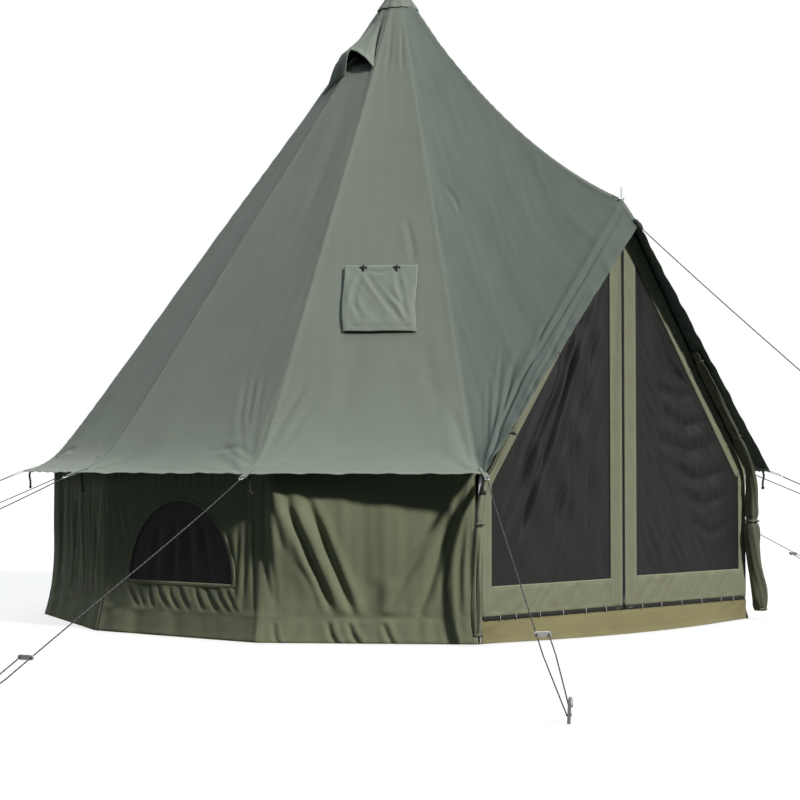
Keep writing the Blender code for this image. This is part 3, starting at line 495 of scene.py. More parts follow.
def fold(x, y, line, width, depth, start=0.0, end=0.0, lean=0.55):
    """One fold along a line: a valley of that depth with a softer ridge on its positive side."""
    offset, along = line_distance(x, y, line)
    strength = start + (1 - start) * step_up(along, 0.0, 0.30)
    strength = strength * (end + (1 - end) * (1 - step_up(along, 0.70, 1.0)))
    ridge = bell(offset - 1.9 * width, 1.35 * width) + 0.5 * bell(offset + 1.9 * width, 1.35 * width)
    return depth * strength * (lean * ridge - bell(offset, width))


def fan(x, y, centre, reach, count, depth, turn=0.0):
    """Folds that spread from a point where the cloth is pulled."""
    dx, dy = x - centre[0], y - centre[1]
    far = np.hypot(dx, dy) / reach
    angle = np.arctan2(dy, dx)
    uneven = np.cos(count * angle + turn) + 0.45 * np.cos(count * 1.7 * angle + 2.1 * turn + 1.0)
    return depth * uneven * np.sqrt(far) * np.exp(-2.2 * far**2) * 1.6


def swells(x, y, seed, length, stretch, depth, count=9):
    """Soft unevenness: waves about that long across and stretch times longer down the cloth."""
    made = np.random.default_rng(seed)
    total = np.zeros_like(x)
    for _ in range(count):
        across = made.uniform(0.6, 1.6) / length
        down = made.normal() * 0.8 / (length * stretch)
        phase = 2 * np.pi * (across * x + down * y) + made.uniform(0, 2 * np.pi)
        total += np.sin(phase) * made.uniform(0.4, 1.0)
    return depth * total / math.sqrt(count)


def normals_of(points):
    normal = np.cross(np.gradient(points, axis=0), np.gradient(points, axis=1))
    return normal / np.maximum(np.linalg.norm(normal, axis=-1, keepdims=True), 1e-12)


def edit(data, change):
    """Lets change work on a mesh by way of bmesh."""
    bm = bmesh.new()
    bm.from_mesh(data)
    change(bm)
    bm.to_mesh(data)
    bm.free()


def weld(bm):
    """Joins a tube's seam and ends and closes it."""
    bmesh.ops.remove_doubles(bm, verts=bm.verts, dist=1e-6)
    ends = [edge for edge in bm.edges if edge.is_boundary]
    if ends:
        bmesh.ops.holes_fill(bm, edges=ends, sides=0)
    bmesh.ops.recalc_face_normals(bm, faces=bm.faces)


def cloth_maps(x, y, seam, run, low):
    """A sheet's values: its flat place, and the metres from a seam, along it and up from its foot."""
    metres = np.stack(np.broadcast_arrays(x, y), -1)
    shape = metres.shape[:2]
    return {"metres": metres, "seam": np.broadcast_to(seam, shape), "run": np.broadcast_to(run, shape),
            "low": np.broadcast_to(low, shape)}


def grid_mesh(name, points, maps=None, close=False):
    """A sheet of points[column, row], made from a grid; maps are its UV metres and named values."""
    columns, rows = points.shape[0] - 1, points.shape[1] - 1
    bm = bmesh.new()
    bmesh.ops.create_grid(bm, x_segments=columns, y_segments=rows, size=0.5)
    data = bpy.data.meshes.new(name)
    bm.to_mesh(data)
    bm.free()
    flat = np.zeros(len(data.vertices) * 3)
    data.vertices.foreach_get("co", flat)
    flat = flat.reshape(-1, 3)
    column = np.rint((flat[:, 0] + 0.5) * columns).astype(int)
    row = np.rint((flat[:, 1] + 0.5) * rows).astype(int)
    data.vertices.foreach_set("co", points[column, row].ravel())
    corners = np.zeros(len(data.loops), int)
    data.loops.foreach_get("vertex_index", corners)
    for key, values in (maps or {}).items():
        if values.ndim == 3:
            layer = data.uv_layers.new(name=key)
            layer.data.foreach_set("uv", values[column, row][corners].astype(np.float32).ravel())
        else:
            store = data.attributes.new(key, "FLOAT", "POINT")
            store.data.foreach_set("value", values[column, row].astype(np.float32))
    if close:
        edit(data, weld)
    data.update()
    return data


def shown(name, data, material):
    thing = bpy.data.objects.new(name, data)
    bpy.context.scene.collection.objects.link(thing)
    data.materials.append(material)
    data.shade_smooth()
    return thing


def facing(data, direction):
    """Turns the faces of an open sheet so that they look towards a direction, on the whole."""
    def turn(bm):
        bm.normal_update()
        lean = sum((face.normal * face.calc_area() for face in bm.faces), Vector())
        if lean.dot(Vector(direction)) < 0:
            bmesh.ops.reverse_faces(bm, faces=bm.faces)

    edit(data, turn)


def thicken(thing, thickness, offset=1.0):
    """Gives cloth its thickness: outwards at offset 1, half to each side at 0."""
    wall = thing.modifiers.new("Cloth thickness", "SOLIDIFY")
    wall.thickness = thickness
    wall.offset = offset
    wall.use_even_offset = False


def piece(name, data, material, body, slot, replaced=()):
    """Shows a mesh as a piece that rides on a body and stands for the CAD nodes it replaces."""
    thing = shown(name, data, material)
    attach(thing, body)
    if replaced:
        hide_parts(*replaced)
    return thing


def sheet_piece(name, points, maps, look, body, slot, replaced, towards, thickness):
    """A piece of cloth with its outer face towards a direction."""
    data = grid_mesh(name, points, maps)
    facing(data, towards)
    thing = piece(name, data, finish(look), body, slot, replaced)
    thicken(thing, thickness)
    return thing


def pipe_mesh(name, path, radii, around_count=8, closed=False):
    """A round tube along path; its UV map has the metres round it and along it."""
    path = np.array([tuple(point) for point in path], float)
    radii = np.broadcast_to(np.array(radii, float), (len(path),))
    gone = gone_along(path)
    tangent = unit(np.roll(path, -1, 0) - np.roll(path, 1, 0) if closed else np.gradient(path, axis=0))
    guide = np.array([0.0, 0.0, 1.0]) if abs(tangent[0][2]) < 0.9 else np.array([1.0, 0.0, 0.0])
    sides = []
    for direction in tangent:
        guide = guide - direction * (guide @ direction)
        guide /= np.linalg.norm(guide)
        sides.append(guide)
    sides = np.array(sides)
    other = np.cross(tangent, sides)
    turn = np.linspace(0, 2 * np.pi, around_count + 1)
    ring = sides[None] * np.cos(turn)[:, None, None] + other[None] * np.sin(turn)[:, None, None]
    points = path[None] + ring * radii[None, :, None]
    points[-1] = points[0]
    metres = np.stack(np.broadcast_arrays(turn[:, None] * float(radii.mean()), gone[None]), -1)
    return grid_mesh(name, points, {"metres": metres}, close=True)


def joined(name, parts):
    """One mesh of several."""
    bm = bmesh.new()
    for data in parts:
        bm.from_mesh(data)
        bpy.data.meshes.remove(data)
    made = bpy.data.meshes.new(name)
    bm.to_mesh(made)
    bm.free()
    return made


def ribbon(name, path, across, width, out, lift=0.001, columns=4):
    """A flat strip along path; across and out are unit vectors, one each or one for each point."""
    path = np.array(path, float)
    across = np.broadcast_to(np.array(across, float), path.shape)
    out = np.broadcast_to(np.array(out, float), path.shape)
    offset = np.linspace(-0.5, 0.5, columns + 1)
    place = (offset * width)[:, None]
    crown = (1 - (2 * offset) ** 4) * lift
    points = path[None] + across[None] * place[..., None] + out[None] * crown[:, None, None]
    gone = gone_along(path)[None]
    seam = ((0.5 - np.abs(offset)) * width)[:, None]
    return grid_mesh(name, points, cloth_maps(place, gone, seam, gone, seam + 0.03))


def joined_piece(name, parts, look, body, slot):
    return piece(name, joined(name, parts), finish(look), body, slot)


# Roof

# Between the flat places of neighbours in one canvas
GORE_APART, PANEL_APART = 1.7, 0.9

# Folds: (gore's angle, or facade for the two over the door, line across and down, width, depth, start, end)
ROOF_FOLDS = [
    (-75, [(0.11, 1.60), (0.19, 1.86), (0.34, 2.10)], 0.012, 0.0035, 0, 0.5),
    (-75, [(0.15, 1.62), (0.23, 1.86), (0.36, 2.10)], 0.011, 0.0040, 0, 0.5),
    (-75, [(0.20, 1.62), (0.27, 1.88), (0.37, 2.10)], 0.010, 0.0035, 0, 0.5),
    (-75, [(0.326, 1.60), (0.335, 1.85), (0.378, 2.08)], 0.011, 0.0050, 0, 0.4),
    (-75, [(0.10, 2.02), (0.25, 2.00), (0.36, 2.06)], 0.012, 0.0035, 0, 0.3),
    (-75, [(0.14, 1.97), (0.27, 2.05), (0.36, 2.09)], 0.010, 0.0030, 0, 0.3),
    (-75, [(-0.032, -0.38), (0.038, -0.03), (0.05, 0.10)], 0.010, 0.0045, 0.6, 0),
    (-75, [(0.027, -0.33), (0.07, -0.05), (0.12, 0.20)], 0.010, 0.0045, 0.6, 0),
    (-75, [(-0.02, 0.11), (0.03, 0.50), (0.068, 0.93)], 0.030, 0.0025, 0, 0),
    (-45, [(-0.378, 2.037), (-0.31, 1.86), (-0.231, 1.66)], 0.013, 0.0055, 0.4, 0),
    (-45, [(-0.34, 2.07), (-0.26, 1.90), (-0.20, 1.76)], 0.012, 0.0035, 0.3, 0),
    (-45, [(0.360, 2.07), (0.330, 1.96), (0.285, 1.80)], 0.014, 0.0035, 0.3, 0),
    (-45, [(0.03, -0.30), (0.035, -0.05), (0.045, 0.08)], 0.008, 0.0040, 0.6, 0),
    (-45, [(-0.02, -0.33), (-0.02, -0.10), (-0.03, 0.10)], 0.009, 0.0035, 0.6, 0),
    (-45, [(0.086, 0.88), (0.112, 1.00), (0.130, 1.13)], 0.012, 0.0040, 0, 0),
    (-45, [(-0.06, 1.49), (-0.09, 1.66), (-0.115, 1.88)], 0.030, 0.0030, 0, 0),
    (-45, [(0.164, 1.49), (0.205, 1.66), (0.25, 1.86)], 0.030, 0.0030, 0, 0),
    ("facade", [(1.18, 2.078), (0.79, 2.074), (0.58, 2.066), (0.344, 2.052), (0.173, 2.093), (0.03, 2.175)],
     0.012, 0.0085, 0.5, 0.6),
    ("facade", [(0.74, 2.036), (0.563, 2.024), (0.384, 2.060), (0.223, 2.085), (0.098, 2.152)],
     0.011, 0.0060, 0, 0.5),
    ("facade", [(0.48, 1.975), (0.328, 1.983), (0.233, 2.043), (0.123, 2.115), (0.048, 2.168)],
     0.013, 0.0060, 0, 0.5),
    ("facade", [(0.869, 2.121), (0.72, 2.121), (0.558, 2.135), (0.383, 2.150), (0.235, 2.163)],
     0.010, 0.0035, 0, 0.2),
    ("facade", [(0.34, 1.86), (0.26, 1.93), (0.17, 2.02), (0.09, 2.11)], 0.014, 0.0045, 0, 0.3),
    ("facade", [(0.20, 1.84), (0.15, 1.94), (0.09, 2.05), (0.05, 2.13)], 0.012, 0.0035, 0, 0.3),
    ("facade", [(0.10, 0.80), (0.16, 0.93), (0.19, 1.05)], 0.012, 0.0035, 0, 0),
]


def column_places(count):
    """Shares of a gore's width for its columns, and the metres that the outer ones keep to."""
    near = np.array([0.0, 0.0145, 0.0170, 0.030, 0.048])
    inner = np.linspace(0.06, 0.94, count)
    even = np.concatenate([np.linspace(0, 0.045, 5), inner, 1 - np.linspace(0.045, 0, 5)])
    return even, np.concatenate([near, np.full(count, np.nan), -near[::-1]])


def gore_points(first, kind, rows, count):
    """Points of one gore on its columns and rows, and its flat places, seam distance and run."""
    even, metres = column_places(count)
    radius, height = seam_line(rows)
    if kind == "plain":
        start = around(first, radius, height)
        end = around(first + STEP, radius, height)
    else:
        reach, rise = ridge_line(rows)
        ridge = np.stack([0 * rows, -reach, rise], -1)
        corner = around(-STEP if kind == "left" else STEP, radius, height)
        start, end = (corner, ridge) if kind == "left" else (ridge, corner)
    width = np.linalg.norm(end - start, axis=-1)
    share = np.broadcast_to(even[:, None], (len(even), len(rows))).copy()
    for number, offset in enumerate(metres):
        if np.isnan(offset):
            continue
        limit = offset / width
        if number < 5:
            share[number] = np.minimum(limit, even[number])
        else:
            share[number] = 1 - np.minimum(-limit, 1 - even[number])
    points = start[None] + (end - start)[None] * share[..., None]
    gone = gone_along(around(0.0, radius, height))
    across = (share - 0.5) * width[None]
    seam = np.minimum(share, 1 - share) * width[None]
    down = np.broadcast_to(gone[None], share.shape)
    return points, share, across, down, seam, width


def gore_relief(kind, angle, rows, share, across, down, seam, width):
    """How far the gore's cloth stands out from its plain shape."""
    low = down[0, -1] - down
    x, y = across, down - np.interp(1.0, rows, down[0])
    level = np.minimum(rows / 7, 1.0)[None]
    hollow = -0.010 * 4 * share * (1 - share) * np.sin(np.pi * level)
    relief = np.zeros_like(x)
    seed = 40 + int(angle) % 360
    relief += swells(x, y, seed, 0.30, 5.0, 0.0016) + swells(x, y, seed + 1, 0.09, 7.0, 0.0005)
    turn = math.radians(angle)
    from_start, from_end = share * width[None], (1 - share) * width[None]
    if kind == "plain":
        place = x if math.sin(turn) * math.cos(turn) < 0 else -x
        wanted, strength = -75 if abs(math.sin(turn)) > 0.8 else -45, 1.0
    else:
        place = from_start if kind == "left" else from_end
        wanted, strength = "facade", 1.0 if kind == "left" else 0.8
        relief += 0.006 * bell(y - 2.044, 0.016) * step_up(place, 0.25, 0.5)
    for gore, line, wide, deep, begin, end in ROOF_FOLDS:
        if gore == wanted:
            relief += strength * fold(place, y, line, wide, deep, begin, end)
    for beside, other in ((from_start, "right"), (from_end, "left")):
        if kind != other:
            relief += fan(beside, y, (0.0, 2.20), 0.30, 9, 0.0030, seed % 7) * step_up(low, 0.0, 0.05)
    relief *= sizes().folds * step_up(seam, 0.0, 0.04) * step_up(down, 0.02, 0.12)
    relief += 0.0008 * np.sin(2 * np.pi * down / 0.023 + 3 * np.sin(down * 9)) * bell(seam, 0.022)
    felled = from_start if math.sin(turn) > 0 else from_end
    relief += 0.0009 * (2 - step_up(felled, FELL_INNER, FELL_OUTER) - step_up(low, 0.024, 0.027))
    ripple = np.sin(2 * np.pi * x / 0.13 + seed) + 0.6 * np.sin(2 * np.pi * x / 0.07 + 2 * seed)
    relief += 0.0016 * ripple * (1 - step_up(low, 0.0, 0.09)) * step_up(seam, 0.0, 0.05)
    return relief + hollow, low


def sewn(panels):
    """Panels side by side as one grid: each has its points and values and meets the next in a seam."""
    last = len(panels) - 1
    return {key: np.concatenate([panel[key] if number == last else panel[key][:-1]
                                 for number, panel in enumerate(panels)]) for key in panels[0]}


def raised(whole, column, towards):
    """A sewn grid's points, lifted by its relief on the side that faces towards at a column."""
    normal = normals_of(whole["points"])
    if normal[column].mean(0) @ np.array(towards) < 0:
        normal = -normal
    return whole["points"] + normal * whole["relief"][..., None]


def canvas_sheet(name, gores, rows, count, nodes, towards):
    """One canvas of several gores, sewn side by side."""
    panels = []
    for number, (first, kind) in enumerate(gores):
        start = math.radians(first)
        points, share, across, down, seam, width = gore_points(start, kind, rows, count[number])
        middle = math.degrees(start + STEP / 2)
        relief, low = gore_relief(kind, middle, rows, share, across, down, seam, width)
        # shade is the share of painted shade: none on plain gores, 0.62 on the two gores over the door and
        # 0.82 on their hood strip past the frame.
        shade = 0 * low if kind == "plain" else 0.62 + 0.20 * step_up(rows, 6.92, 7.10) + 0 * low
        panels.append({"points": points, "relief": relief, "shade": shade,
                       **cloth_maps(across + GORE_APART * number, down, seam, down, low)})
    whole = sewn(panels)
    points = raised(whole, len(whole["points"]) // 2, towards)
    maps = {key: whole[key] for key in ("metres", "seam", "run", "low", "shade")}
    thing = sheet_piece(name, points, maps, "Roof canvas", "tent", "canvas", nodes, towards, sizes().cloth)


class BELLTENT_OT_roof(bpy.types.Operator):
    """Makes the roof's three canvases of sewn gores, and the cap over the pole"""

    bl_idname = "bell_tent.roof"
    bl_label = "Roof"

    CAP_REACH = 0.092

    def execute(self, context):
        fine = spans((0, 1, 30), (1, 4.4, 74), (4.4, 6, 60), (6, 9, 34))
        plain = spans((0, 1, 24), (1, 6, 100), (6, 9, 30))
        left = [(-90, "plain"), (-60, "plain"), (-30, "left")]
        canvas_sheet("roof_canvas_left", left, fine, (56, 56, 88),
                     ["roof_left_front", "roof_front_left"], (-0.8, -0.6, 0.6))
        right = [(0, "right"), (30, "plain"), (60, "plain")]
        canvas_sheet("roof_canvas_right", right, fine, (88, 56, 56),
                     ["roof_right_front", "roof_front_right"], (0.8, -0.6, 0.6))
        rear = [(angle, "plain") for angle in (90, 120, 150, 180, 210, 240)]
        canvas_sheet("roof_canvas_rear", rear, plain, (40,) * 6,
                     ["roof_right_rear", "roof_rear", "roof_left_rear"], (0, 1, 0.5))
        self.cap()
        return {"FINISHED"}

    def cap(self):
        """The cap follows the gores' seams under it and ends in a stitched hem."""
        turn = np.linspace(0, 2 * np.pi, 145)[:, None]
        reach = np.concatenate([np.linspace(0.001, 0.07, 22), np.linspace(0.0725, self.CAP_REACH, 12)])[None]
        slope = (SEAM[0][1] - SEAM[1][1]) / (SEAM[1][0] - SEAM[0][0])
        seam_height = SEAM[0][1] + slope * (SEAM[0][0] - reach)
        crown = 0.010 * bell(reach, 0.02)
        lift = 0.0074 - crown + 0.0012 * np.cos(12 * turn) * step_up(reach, 0.02, 0.08)
        lift = lift + 0.0009 * step_up(reach, 0.0755, 0.078)
        front = bell(signed(turn), 0.45) * 0.0042 * step_up(reach, 0.02, 0.09)
        points = around(turn, reach * flatness(turn), seam_height + lift + front)
        points[-1] = points[0]
        edge = self.CAP_REACH - reach
        maps = cloth_maps(turn * 0.09, reach * 1.7, edge, turn * 0.09, edge + 0.02)
        data = grid_mesh("roof_top_cap", points, maps, close=True)
        facing(data, (0, 0, 1))
        thing = piece("roof_top_cap", data, finish("Roof canvas"), "tent", "canvas", ["roof_cap"])
        thicken(thing, 0.0016)


# Finishes

FINISHES = {}


def finish(name):
    return FINISHES[name]


def net_material(name, colour, gloss):
    """Fine net: a square weave on the piece's own metres, with its colour a little uneven."""
    made, tree, shader = new_material(name, colour, 0.62)
    spot, x, y = flat_place(tree, (-1300, 0))
    across = wave(tree, (-800, 100), x, 2 * math.pi / NET_PITCH)
    down = wave(tree, (-800, -60), y, 2 * math.pi / NET_PITCH)
    share = ramp(tree, (-700, -260), noise(tree, (-950, -260), spot, Scale=2.5, Detail=4.0), 0.35, 0.7)
    uneven = mix(tree, (-400, 100), share, tone(colour, 0.82), tone(colour, 1.25))
    wire(tree, (uneven, shader.inputs["Base Color"]))
    bump(tree, shader, maths(tree, (-600, -60), "MAXIMUM", across, down), 0.3, 0.0003)
    shader.inputs["Specular IOR Level"].default_value = gloss
    shader.inputs["Sheen Weight"].default_value = 0.02
    return made


def plain_material(name, colour, roughness, metallic, grain, scratches=0.0):
    """A hard or moulded surface on Object coordinates: fine grain, uneven gloss and wear."""
    made, tree, shader = new_material(name, colour, roughness, metallic)
    spot = node(tree, "ShaderNodeTexCoord", (-1300, 0)).outputs["Object"]
    scale, contrast = grain
    fine = noise(tree, (-1000, 0), spot, Scale=scale, Detail=4.0, Roughness=0.6)
    broad = noise(tree, (-1000, -260), spot, Scale=scale / 14, Detail=3.0)
    share = ramp(tree, (-700, -200), broad, 0.35, 0.68)
    surface = mix(tree, (-450, 100), share, tone(colour, 1 - contrast), tone(colour, 1 + contrast))
    height = fine
    if scratches:
        stretch = node(tree, "ShaderNodeMapping", (-1150, -520), Scale=(900.0, 900.0, 9.0))
        wire(tree, (spot, stretch.inputs[0]))
        lines = noise(tree, (-980, -520), stretch.outputs[0], Scale=1.0, Detail=2.0)
        worn = ramp(tree, (-700, -520), lines, 0.60, 0.72, 0.0, scratches)
        surface = mix(tree, (-260, 100), worn, surface, tone(colour, 1.5))
        height = maths(tree, (-450, -420), "SUBTRACT", height, worn)
    wire(tree, (surface, shader.inputs["Base Color"]))
    gloss = ramp(tree, (-450, -120), fine, 0.3, 0.7, roughness * 0.85, min(roughness * 1.2, 1.0))
    wire(tree, (gloss, shader.inputs["Roughness"]))
    bump(tree, shader, height, 0.25, 0.0002)
    return made


def rope_material(name):
    """Braided rope with light flecks at an even pitch along it."""
    made, tree, shader = new_material(name, (0.06, 0.06, 0.058), 0.8)
    _, x, y = flat_place(tree, (-1400, 0))
    slant = maths(tree, (-1000, 100), "ADD", maths(tree, (-1150, 100), "MULTIPLY", x, 0.6), y)
    turn = maths(tree, (-860, 100), "FRACT", maths(tree, (-930, 100), "DIVIDE", slant, sizes().fleck))
    middle = maths(tree, (-780, 200), "ABSOLUTE", maths(tree, (-800, 100), "SUBTRACT", turn, 0.5))
    fleck = mix(tree, (-400, 100), ramp(tree, (-700, 100), middle, 0.24, 0.27),
                (0.018, 0.019, 0.018, 1), (0.10, 0.10, 0.097, 1))
    wire(tree, (fleck, shader.inputs["Base Color"]))
    plait = maths(tree, (-700, -200), "MULTIPLY", wave(tree, (-860, -160), x, 2400.0),
                  wave(tree, (-860, -300), y, 1900.0))
    bump(tree, shader, plait, 0.5, 0.0003)
    return made


class BELLTENT_OT_finishes(bpy.types.Operator):
    """Makes the tent's materials: woven canvas, net, coated groundsheet, steel, rubber, rope and trims"""

    bl_idname = "bell_tent.finishes"
    bl_label = "Finishes"

    def execute(self, context):
        groups = woven_group(), stitch_group()
        shade = colours()
        cloths = {
            # The roof's last value, 0.45, is its painted light towards the eave; it also turns on the
            # painted hem highlight and the painted shade over the door.
            "Roof canvas": (tuple(shade.canvas), 0.13, 0.0, 0.45),
            "Wall canvas": (tuple(shade.wall), 0.20, 0.30),
            "Door canvas": (tuple(shade.khaki), 0.12, 0.18),
            "Rolled canvas left": ((0.275, 0.285, 0.200), 0.18, 0.1),
            # The right roll is the same outer door canvas as the left, painted much darker: painted shade.
            "Rolled canvas right": ((0.150, 0.163, 0.112), 0.18, 0.1),
            "Groundsheet": (tuple(shade.tarp), 0.16, 0.25, 0.0, 0.55),
            "Webbing": ((0.022, 0.024, 0.022), 0.2, 0.0, 0.0, 0.8),
            "Zip tape": ((0.020, 0.021, 0.020), 0.15, 0.0, 0.0, 0.75),
            "Heat cloth": ((0.085, 0.085, 0.082), 0.2, 0.0, 0.0, 0.5),
        }
        for name, (colour, *looks) in cloths.items():
            FINISHES[name] = cloth_material(name, colour, groups, *looks)
        FINISHES["Net"] = net_material("Net", tuple(shade.net), 0.24)
        # Painted shade: a much darker copy of the net, used on the windows and the vent, which lie in shade.
        FINISHES["Net with painted shade"] = net_material("Net with painted shade", (0.0045, 0.0047, 0.0045), 0.10)
        FINISHES["Rope"] = rope_material("Rope")
        plain = {
            "Steel": ((0.56, 0.57, 0.58), 0.34, 1.0, (60.0, 0.10), 0.5),
            "Peg steel": ((0.20, 0.20, 0.195), 0.5, 1.0, (60.0, 0.15), 0.5),
            "Zip metal": ((0.10, 0.10, 0.10), 0.38, 0.7, (240.0, 0.2), 0.6),
            "Rubber": ((0.03, 0.03, 0.03), 0.6, 0.0, (300.0, 0.2)),
            "Runner plastic": ((0.72, 0.72, 0.69), 0.42, 0.0, (160.0, 0.06)),
            "Black plastic": ((0.02, 0.02, 0.02), 0.4, 0.0, (160.0, 0.1)),
            "Cord": ((0.03, 0.03, 0.028), 0.8, 0.0, (500.0, 0.3)),
        }
        for name, looks in plain.items():
            FINISHES[name] = plain_material(name, *looks)
        hard = {
            "Steel": ["centre_pole_lower", "centre_pole_upper", "door_frame_left", "door_frame_right",
                      "door_frame_peak"],
            "Rubber": ["centre_pole_foot", "centre_pole_head"],
            "Zip metal": ["zip_slider_centre", "zip_slider_left", "zip_slider_right"],
            "Runner plastic": [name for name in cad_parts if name.startswith("guy_runner_")],
        }
        for label, names in hard.items():
            for name in names:
                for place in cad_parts[name].material_slots:
                    place.material = finish(label)
        return {"FINISHED"}


# Stage


class BELLTENT_OT_stage(bpy.types.Operator):
    """Makes the pale floor, the lights and the camera"""

    bl_idname = "bell_tent.stage"
    bl_label = "Stage"

    def execute(self, context):
        settings = context.scene.bell_tent_stage
        scene = context.scene
        scene.view_settings.view_transform = "Standard"
        world = bpy.data.worlds.new("Even light")
        scene.world = world
        world.use_nodes = True
        tree = world.node_tree
        sky = tree.nodes["Background"]
        sky.inputs["Color"].default_value = (0.62, 0.88, 1.0, 1.0)
        sky.inputs["Strength"].default_value = settings.sky
        white = node(tree, "ShaderNodeBackground", (0, -160), Color=(1, 1, 1, 1), Strength=1.0)
        blend = node(tree, "ShaderNodeMixShader", (300, 0))
        wire(tree, (self.seen(tree), blend.inputs[0]), (sky.outputs[0], blend.inputs[1]),
             (white.outputs[0], blend.inputs[2]), (blend.outputs[0], tree.nodes["World Output"].inputs[0]))
        bm = bmesh.new()
        bmesh.ops.create_grid(bm, x_segments=1, y_segments=1, size=40.0)
        bmesh.ops.translate(bm, verts=bm.verts, vec=(0, 0, -0.001))
        data = bpy.data.meshes.new("floor")
        bm.to_mesh(data)
        bm.free()
        floor = shown("floor", data, self.floor_material())
        self.lamp("key_light", (0.071, -0.816, 0.574), settings.sun, 5.0, (1.0, 0.975, 0.93))
        self.lamp("back_light", (0.55, 0.75, 0.62), settings.fill, 25.0, (0.95, 0.98, 1.0))
        self.lamp("top_light", (-0.08, 0.04, 1.0), settings.top, 45.0, (0.84, 0.95, 1.0))
        lens = bpy.data.cameras.new("camera")
        lens.lens = 77.0
        lens.sensor_width = 36.0
        lens.clip_end = 200.0
        camera = bpy.data.objects.new("camera", lens)
        camera.location = (-4.858, -5.648, 0.646)
        camera.rotation_euler = (math.radians(91.98), 0.0, math.radians(-40.76))
        scene.collection.objects.link(camera)
        scene.camera = camera
        return {"FINISHED"}

    def seen(self, tree):
        """1 for rays that come from the camera, a reflection or through glass."""
        path = node(tree, "ShaderNodeLightPath", (-500, 300)).outputs
        either = maths(tree, (-300, 300), "MAXIMUM", path["Is Camera Ray"], path["Is Glossy Ray"])
        return maths(tree, (-120, 300), "MAXIMUM", either, path["Is Transmission Ray"])

    def floor_material(self):
        made = bpy.data.materials.new("Pale floor")
        made.use_nodes = True
        tree = made.node_tree
        tree.nodes.remove(tree.nodes["Principled BSDF"])
        output = tree.nodes["Material Output"]
        matt = node(tree, "ShaderNodeBsdfDiffuse", (-200, 100), Color=(0.035, 0.048, 0.045, 1))
        soft = node(tree, "ShaderNodeBsdfDiffuse", (-200, -40), Color=(0.30, 0.30, 0.30, 1))
        glow = node(tree, "ShaderNodeEmission", (-200, -180), Color=(0.78, 0.78, 0.78, 1), Strength=1.0)
        both = node(tree, "ShaderNodeAddShader", (0, -100))
        blend = node(tree, "ShaderNodeMixShader", (150, 0))
        wire(tree, (soft.outputs[0], both.inputs[0]), (glow.outputs[0], both.inputs[1]),
             (self.seen(tree), blend.inputs[0]), (matt.outputs[0], blend.inputs[1]),
             (both.outputs[0], blend.inputs[2]), (blend.outputs[0], output.inputs[0]))
        return made

    def lamp(self, name, towards, strength, spread, colour):
        light = bpy.data.lights.new(name, "SUN")
        light.energy = strength
        light.angle = math.radians(spread)
        light.color = colour
        made = bpy.data.objects.new(name, light)
        made.rotation_euler = Vector(towards).to_track_quat("Z", "Y").to_euler()
        bpy.context.scene.collection.objects.link(made)


# Walls and windows


# Folds of the wall panels: (line along the panel and up, width, depth, start, end)
DOORSIDE_FOLDS = [
    ([(-0.285, 0.56), (-0.277, 0.476), (-0.211, 0.314), (-0.163, 0.196), (-0.105, 0.07)],
     0.014, 0.017, 0.2, 0.1),
    ([(-0.215, 0.54), (-0.196, 0.471), (-0.095, 0.213), (-0.032, 0.060)], 0.014, 0.014, 0.2, 0.2),
    ([(-0.34, 0.52), (-0.331, 0.466), (-0.290, 0.30)], 0.012, 0.006, 0.3, 0),
    ([(-0.375, 0.34), (-0.341, 0.131)], 0.010, 0.007, 0, 0),
    ([(-0.362, 0.42), (-0.330, 0.20), (-0.325, 0.10)], 0.009, 0.005, 0, 0),
    ([(0.345, 0.57), (0.319, 0.483), (0.264, 0.327), (0.228, 0.23), (0.165, 0.05)], 0.015, 0.012, 0.2, 0.1),
    ([(0.222, 0.41), (0.194, 0.334), (0.120, 0.214), (0.055, 0.10)], 0.016, 0.008, 0, 0.1),
    ([(0.362, 0.54), (0.340, 0.40), (0.322, 0.26), (0.318, 0.05)], 0.012, 0.006, 0.3, 0.3),
    ([(0.372, 0.50), (0.356, 0.33), (0.350, 0.10)], 0.007, 0.008, 0.3, 0.2),
    ([(0.021, 0.24), (0.011, 0.06)], 0.030, 0.008, 0, 0.2),
    ([(-0.140, 0.085), (-0.125, 0.03), (-0.107, 0.0)], 0.009, 0.008, 0, 1),
    ([(-0.070, 0.080), (-0.050, 0.03), (-0.030, 0.0)], 0.009, 0.008, 0, 1),
    ([(0.055, 0.075), (0.070, 0.03), (0.085, 0.0)], 0.009, 0.008, 0, 1),
    ([(-0.330, 0.080), (-0.322, 0.03), (-0.31, 0.0)], 0.008, 0.005, 0, 1),
    ([(-0.26, 0.30), (-0.19, 0.18), (-0.165, 0.09)], 0.012, 0.004, 0, 0),
]
